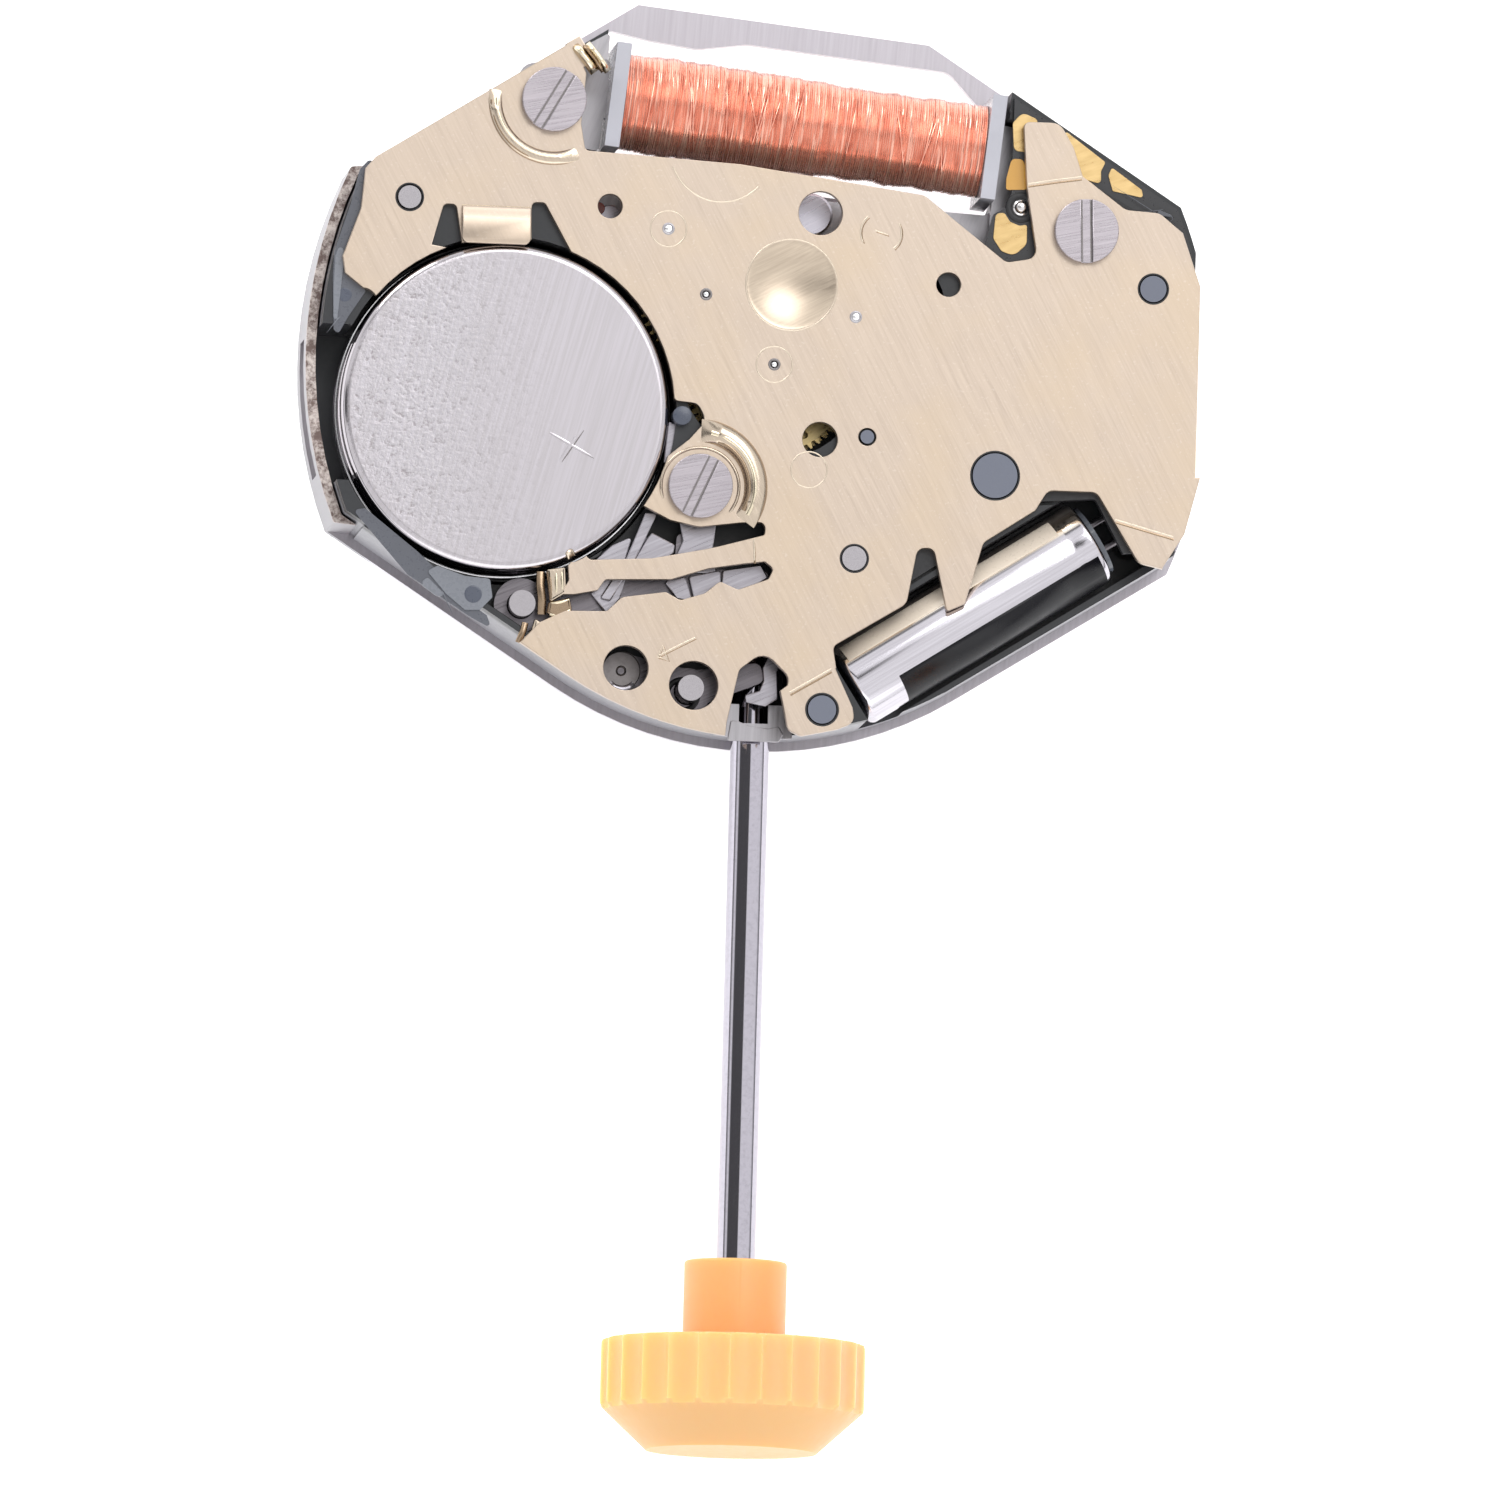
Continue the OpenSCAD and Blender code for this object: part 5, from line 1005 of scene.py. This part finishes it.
def dress_board():
    """Conductor tracks and the solder joint that show beside the right screw."""
    tracks = (
        ("track_left", [(4.8, 5.2, 0.12), (5.0, 5.42, 0.15), (5.3, 5.3, 0.1), (5.46, 4.6, 0.1), (4.84, 4.62, 0.12)]),
        ("track_right", [(5.8, 5.14, 0.05), (6.0, 5.0, 0.05), (6.74, 4.46, 0.05), (6.65, 4.27, 0.12),
            (6.66, 4.0, 0.08), (6.2, 4.12, 0.1), (6.0, 4.7, 0.1)]),
        ("track_end", [(6.87, 4.36, 0.04), (7.5, 3.92, 0.05), (7.54, 3.75, 0.05), (6.9, 3.87, 0.05),
            (6.8, 4.19, 0.1)]),
        ("track_pad", [(4.5, 3.32, 0.1), (4.68, 3.34, 0.08), (4.8, 3.16, 0.1), (5.0, 3.08, 0.12),
            (5.16, 3.12, 0.05), (5.16, 2.7, 0.2), (4.9, 2.46, 0.2), (4.64, 2.54, 0.15), (4.46, 2.8, 0.15)]),
        ("track_link", [(4.8, 4.46, 0.1), (5.03, 4.46, 0.1), (5.13, 4.2, 0.1), (5.12, 3.83, 0.05),
            (4.7, 3.81, 0.05), (4.7, 4.05, 0.1)]),
    )
    for name, corners in tracks:
        material = AMBER if name == "track_link" else GOLD_TRACK
        plate(name, corners, BOARD_TOP, 0.025, material, 0.008)
    profile = [(0, 0.1)] + arc(0, 0.0, 0.13, 65, 0, 8)[1:] + [(0.16, -0.02), (0, -0.02)]
    lathe("solder_ball", profile, 40, turn_z(5.02, 3.46, BOARD_TOP + 0.02), "board", SOLDER, 50)
    ridge("solder_ring", circle_loop(5.02, 3.46, 0.25, 40), 0.07, 0.03, BOARD_TOP, "board", BLACK_FILM, closed=True)


def dress_plastic():
    """Steps, tabs and peg ends of the moulded plate along the edge."""
    pieces = (
        ("rim_left", [(-8.6, 3.72), (-8.44, 3.9), (-8.3, 3.9), (-8.46, 3.26), (-8.52, 2.86), (-8.86, 1.92),
            (-8.84, 1.55), (-8.4, 1.22), (-8.76, 0.66), (-8.95, 0.3), (-9.05, 0.4), (-9.1, 1.5), (-9.08, 2.0),
            (-8.76, 3.04)], RIM_PLASTIC),
        ("rim_left_lip", [(-8.96, 2.2), (-8.86, 1.95), (-8.9, 1.5), (-8.98, 0.6), (-9.06, 0.5), (-9.08, 1.2),
            (-9.06, 1.9)], TAB_PLASTIC),
        ("rim_low", [(-8.55, -3.3), (-8.3, -3.25), (-7.2, -4.1), (-6.7, -4.55), (-6.15, -5.1), (-5.75, -5.35),
            (-5.62, -5.65), (-6.1, -5.4), (-7.4, -4.58)], RIM_PLASTIC),
        ("rim_tab", [(-7.0, -4.5), (-6.79, -4.38), (-6.22, -4.57), (-5.7, -4.61), (-5.64, -4.99),
            (-5.89, -5.26), (-6.2, -5.27), (-6.6, -4.95)], TAB_PLASTIC),
        ("rim_tab_low", [(-7.1, -4.72), (-6.98, -4.62), (-6.66, -4.92), (-6.61, -5.03), (-6.8, -5.0),
            (-7.06, -4.82)], TAB_PLASTIC),
        ("rim_corner", [(7.86, 3.5), (8.1, 3.42), (8.3, 3.14), (8.2, 3.2), (7.9, 3.38), (7.5, 3.44)], RIM_PLASTIC),
    )
    for name, corners, material in pieces:
        step = 0.035 if name == "rim_tab" else 0.015 if name.endswith(("lip", "tab_low")) else 0.0
        outline = [(x, y, 0.06) for x, y in corners]
        plate(name, outline, COVER_BOTTOM, 0.03 + step, material, 0.01)
    dots = (
        ("tab_dot", 0.15, 0.19, 0.012, (-6.04, -4.94, 2.812)),
        ("rim_dot", 0.12, 0.15, 0.01, (-8.84, 1.12, 2.778)),
    )
    for name, inner, outer, height, spot in dots:
        profile = [(0, height), (inner, height), (outer, 0.0), (0, 0.0)]
        lathe(name, profile, 36, turn_z(*spot), "smoked_plastic", PEG_PLASTIC, 30)
    # x, y, radius and lower end of the pegs
    pegs = (
        (4.6, -2.12, 0.46, 2.945),
        (7.76, 1.85, 0.27, 2.945),
        (1.17, -7.06, 0.29, 2.945),
        (1.95, -1.42, 0.14, 2.945),
        (-1.86, -1.12, 0.2, 2.5),
    )
    for i, (x, y, r, low) in enumerate(pegs):
        profile = [(0, 2.955), (r * 0.8, 2.958), (r * 0.95, 2.945), (r * 0.985, low), (0, low)]
        lathe(f"peg_top_{i}", profile, 48, turn_z(x, y, 0), "smoked_plastic", PEG_PLASTIC)


def dress_levers():
    """Steel pieces of the keyless work that show in the gaps of the cover plate."""
    z = LEVER_TOP
    pieces = (
        ("lever_bar", [(-2.53, -3.1), (-2.27, -3.1), (-2.7, -4.06), (-3.2, -4.95), (-3.42, -4.9),
            (-2.9, -4.06)], z + 0.06),
        ("lever_plate_b", [(-2.38, -3.5), (-1.9, -3.74), (-1.92, -3.92), (-2.29, -4.2), (-2.8, -4.2),
            (-2.5, -3.67)], z),
        ("lever_plate_c", [(-1.83, -3.2), (-1.05, -3.2), (-1.11, -3.79), (-1.05, -4.3), (-2.0, -4.3),
            (-1.74, -3.65)], z - 0.02),
        ("lever_plate_d", [(-2.78, -3.6), (-2.93, -4.2), (-3.7, -4.25), (-3.2, -3.8)], z),
        ("lever_plate_e", [(-2.1, -4.5), (-1.67, -4.38), (-1.5, -4.9), (-1.84, -4.85)], z),
        ("lever_plate_f", [(-1.6, -4.38), (-0.95, -4.22), (-0.93, -4.6), (-1.2, -4.85), (-1.47, -4.9)], z),
        ("lever_plate_g", [(-0.9, -4.22), (-0.12, -4.08), (0.04, -4.35), (-0.5, -4.7), (-0.92, -4.55)], z - 0.02),
        ("lever_plate_h", [(-3.5, -4.55), (-2.87, -4.4), (-3.0, -4.9), (-3.26, -5.22), (-3.6, -4.8)], z - 0.02),
        ("land_plate", [(-2.12, -1.22), (-1.6, -1.36), (-1.4, -1.6), (-1.9, -2.0), (-2.2, -2.1)], 2.56),
    )
    for name, corners, level in pieces:
        plate(name, corners, level, 0.1, LEVER_STEEL, 0.025)
    hook = [(0.5, -5.25), (0.85, -5.4), (0.42, -6.0), (0.3, -6.24), (0.33, -6.8), (0.08, -6.96),
        (-0.33, -6.89), (-0.36, -6.74), (-0.05, -6.64), (0.03, -6.42), (0.0, -6.15), (0.2, -5.8)]
    plate("yoke_hook", hook, 2.11, 0.08, LEVER_STEEL, 0.02, "yoke")
    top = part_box("stem_cover")[1][2] / MM
    lip = [(-0.6, -7.24), (-0.43, -7.25), (-0.22, -7.34), (0.19, -7.38), (0.4, -7.33), (0.5, -7.5),
        (0.4, -7.66), (-0.66, -7.66)]
    plate("stem_cover_lip", lip, top - 0.03, 0.05, STEEL_SHEET, 0.02)
    # painted shade: a dark steel disc on the setting lever stands in for the shade in the hole
    profile = [(0.0, -0.02), (0.06, -0.015), (0.11, 0.02), (0.38, 0.02), (0.4, 0.0), (0, -0.03)]
    rides = {"slot": "hard_steel", "body": "setting_lever"}
    lathe("lever_shade_disc", profile, 48, turn_z(-2.9, -6.33, PIN_LEVEL), material=DARK_STEEL, **rides)
    path = arc(-2.88, -6.36, 0.36, 222, 318, 20)
    ridge("lever_crescent", path, 0.09, 0.04, PIN_LEVEL + 0.03, material=LEVER_STEEL, taper=4, **rides)
    path = circle_loop(-1.63, -6.78, 0.315, 40)
    ridge("lever_pin_ring", path, 0.06, 0.03, PIN_LEVEL, material=BLACK_FILM, closed=True, **rides)


def dress_depths():
    """What shows at the bottom of the round holes and beside the winding."""
    patch = [(-4.12, 6.4), (-3.54, 6.73), (-3.57, 6.18), (-3.76, 6.1)]
    plate("core_lug_edge", patch, 2.74, 0.04, CORE_ALLOY, 0.01)
    patch = [(7.1, -2.9), (7.75, -2.9), (7.85, -3.3), (7.75, -3.65), (7.3, -3.6)]
    plate("lead_well_floor", patch, 0.2, 0.06, BLACK_FILM, 0.01)
    spots = (
        ("hole_disc_wide", 0.78, 3.24, 0.44, HOLE_FLOOR, PALE_STEEL),
        ("hole_disc_left", -3.36, 3.08, 0.2, HOLE_FLOOR, PALE_STEEL),
        ("hole_spot_left", -3.6, 3.2, 0.13, 1.9, RED_LACQUER),
    )
    for name, x, y, r, z, material in spots:
        profile = [(0, 0.02), (r * 0.9, 0.02), (r, 0.0), (0, 0.0)]
        lathe(name, profile, 40, turn_z(x, y, z), "hard_steel", material)


dress_depths()
dress_board()
dress_plastic()
dress_levers()

# ---- stage, light and camera

FLOOR_HALF, FLOOR_Z = 2, cad_low.z - 0.03 * MM
corners = [Vector((x * FLOOR_HALF, y * FLOOR_HALF, FLOOR_Z)) for x, y in ((-1, -1), (1, -1), (1, 1), (-1, 1))]
floor = new_object("floor", corners, [(0, 1, 2, 3)])
pale = Shader("pale_floor").surface(
    Base_Color=(0.97, 0.97, 0.975),
    Roughness=0.8,
    Specular_IOR_Level=0.1,
    Emission_Color=(1, 1, 1),
    Emission_Strength=0.35,
)
floor.data.materials.append(pale)

world = bpy.data.worlds.new("studio")
bpy.context.scene.world = world
world.use_nodes = True
sky = Nodes(world.node_tree)
backdrop = sky.tree.nodes["Background"]
direction = sky.add("TexCoord").outputs["Generated"]


def window(value, low, high, soft):
    """1 between low and high, falling to 0 over soft."""
    return sky.times(sky.mask(value, low - soft, low + soft), sky.mask(value, high + soft, high - soft))


def toward(*axis):
    """How far the direction looked in points along (x, y, z)."""
    return sky.add("VectorMath", {0: direction, 1: axis}, operation="DOT_PRODUCT").outputs["Value"]


SKY_LEVEL, BOUNCE_LEVEL, CARD_DEPTH, ROOM_DEPTH = 1.24, 1.2, 0.9, 0.8
# dark cards over the left and beyond the crystal can, and a dim room near the horizon
ahead = window(toward(0, 1, 0), 0.0, 0.2, 0.03)
card_stem = sky.times(window(toward(-1, 0, 0), -0.03, 0.9, 0.03), ahead)
along_can = window(toward(*CAN_ALONG), -0.3, 0.3, 0.05)
card_can = sky.times(window(toward(*CAN_ACROSS), 0.72, 0.8, 0.015), along_can)
behind_can = window(toward(*CAN_ACROSS), 0.7, 1.2, 0.05)
room = window(toward(0, 0, 1), -0.5, 0.2, 0.1)
room = sky.times(room, sky.math("SUBTRACT", 1.0, behind_can))
dark = sky.math("MAXIMUM", sky.math("MAXIMUM", card_stem, card_can), sky.times(room, ROOM_DEPTH))
level = sky.math("SUBTRACT", 1.0, sky.times(dark, CARD_DEPTH))
# light thrown back from below the stem
bounce = sky.times(window(toward(0, -1, 0), 0.72, 1.1, 0.08), window(toward(0, 0, 1), 0.03, 0.7, 0.05))
strength = sky.math("ADD", sky.times(level, SKY_LEVEL), sky.times(bounce, BOUNCE_LEVEL))
sky.put(backdrop.inputs["Strength"], strength)
sky.put(backdrop.inputs["Color"], (1.0, 1.0, 1.0))


def softbox(name, place, aim, size, power):
    """Lamp at place that faces aim, in metres and watts."""
    light = bpy.data.lights.new(name, "AREA")
    light.shape = "RECTANGLE"
    light.size, light.size_y = size
    light.energy = power
    obj = add_object(name, light)
    obj.location = place
    obj.rotation_mode = "QUATERNION"
    obj.rotation_quaternion = (Vector(aim) - Vector(place)).to_track_quat("-Z", "Y")


softbox("key", (0.085, 0.17, 0.3), (0, -0.006, 0), (0.19, 0.19), 0.4)
softbox("rim", (-0.158, 0.243, 0.085), (0, -0.004, 0), (0.12, 0.12), 0.28)

# the photo's view: turned a little, and from slightly left of and below the middle
VIEW_TURN, VIEW_TILT = math.radians(1.54), 0.1
PIXELS, PIXELS_PER_MM = 1500, 48.7
AIM, DISTANCE = mm(0.0, -7.642, 0.0), 0.6
SENSOR = 36.0

across = Vector((math.cos(VIEW_TURN), math.sin(VIEW_TURN), 0))
along = Vector((-math.sin(VIEW_TURN), math.cos(VIEW_TURN), 0))
back = (Vector((0, 0, 1)) - VIEW_TILT * across - VIEW_TILT * along).normalized()
up = (along - along.dot(back) * back).normalized()
right = up.cross(back)
camera = bpy.data.cameras.new("camera")
camera.sensor_width = SENSOR
camera.lens = SENSOR * DISTANCE / (PIXELS / PIXELS_PER_MM * MM)
camera.clip_start, camera.clip_end = 0.05, 5.0
eye = add_object("camera", camera)
eye.matrix_world = Matrix.Translation(AIM + back * DISTANCE) @ Matrix((right, up, back)).transposed().to_4x4()
bpy.context.scene.camera = eye

bpy.context.scene.view_settings.view_transform = "Standard"
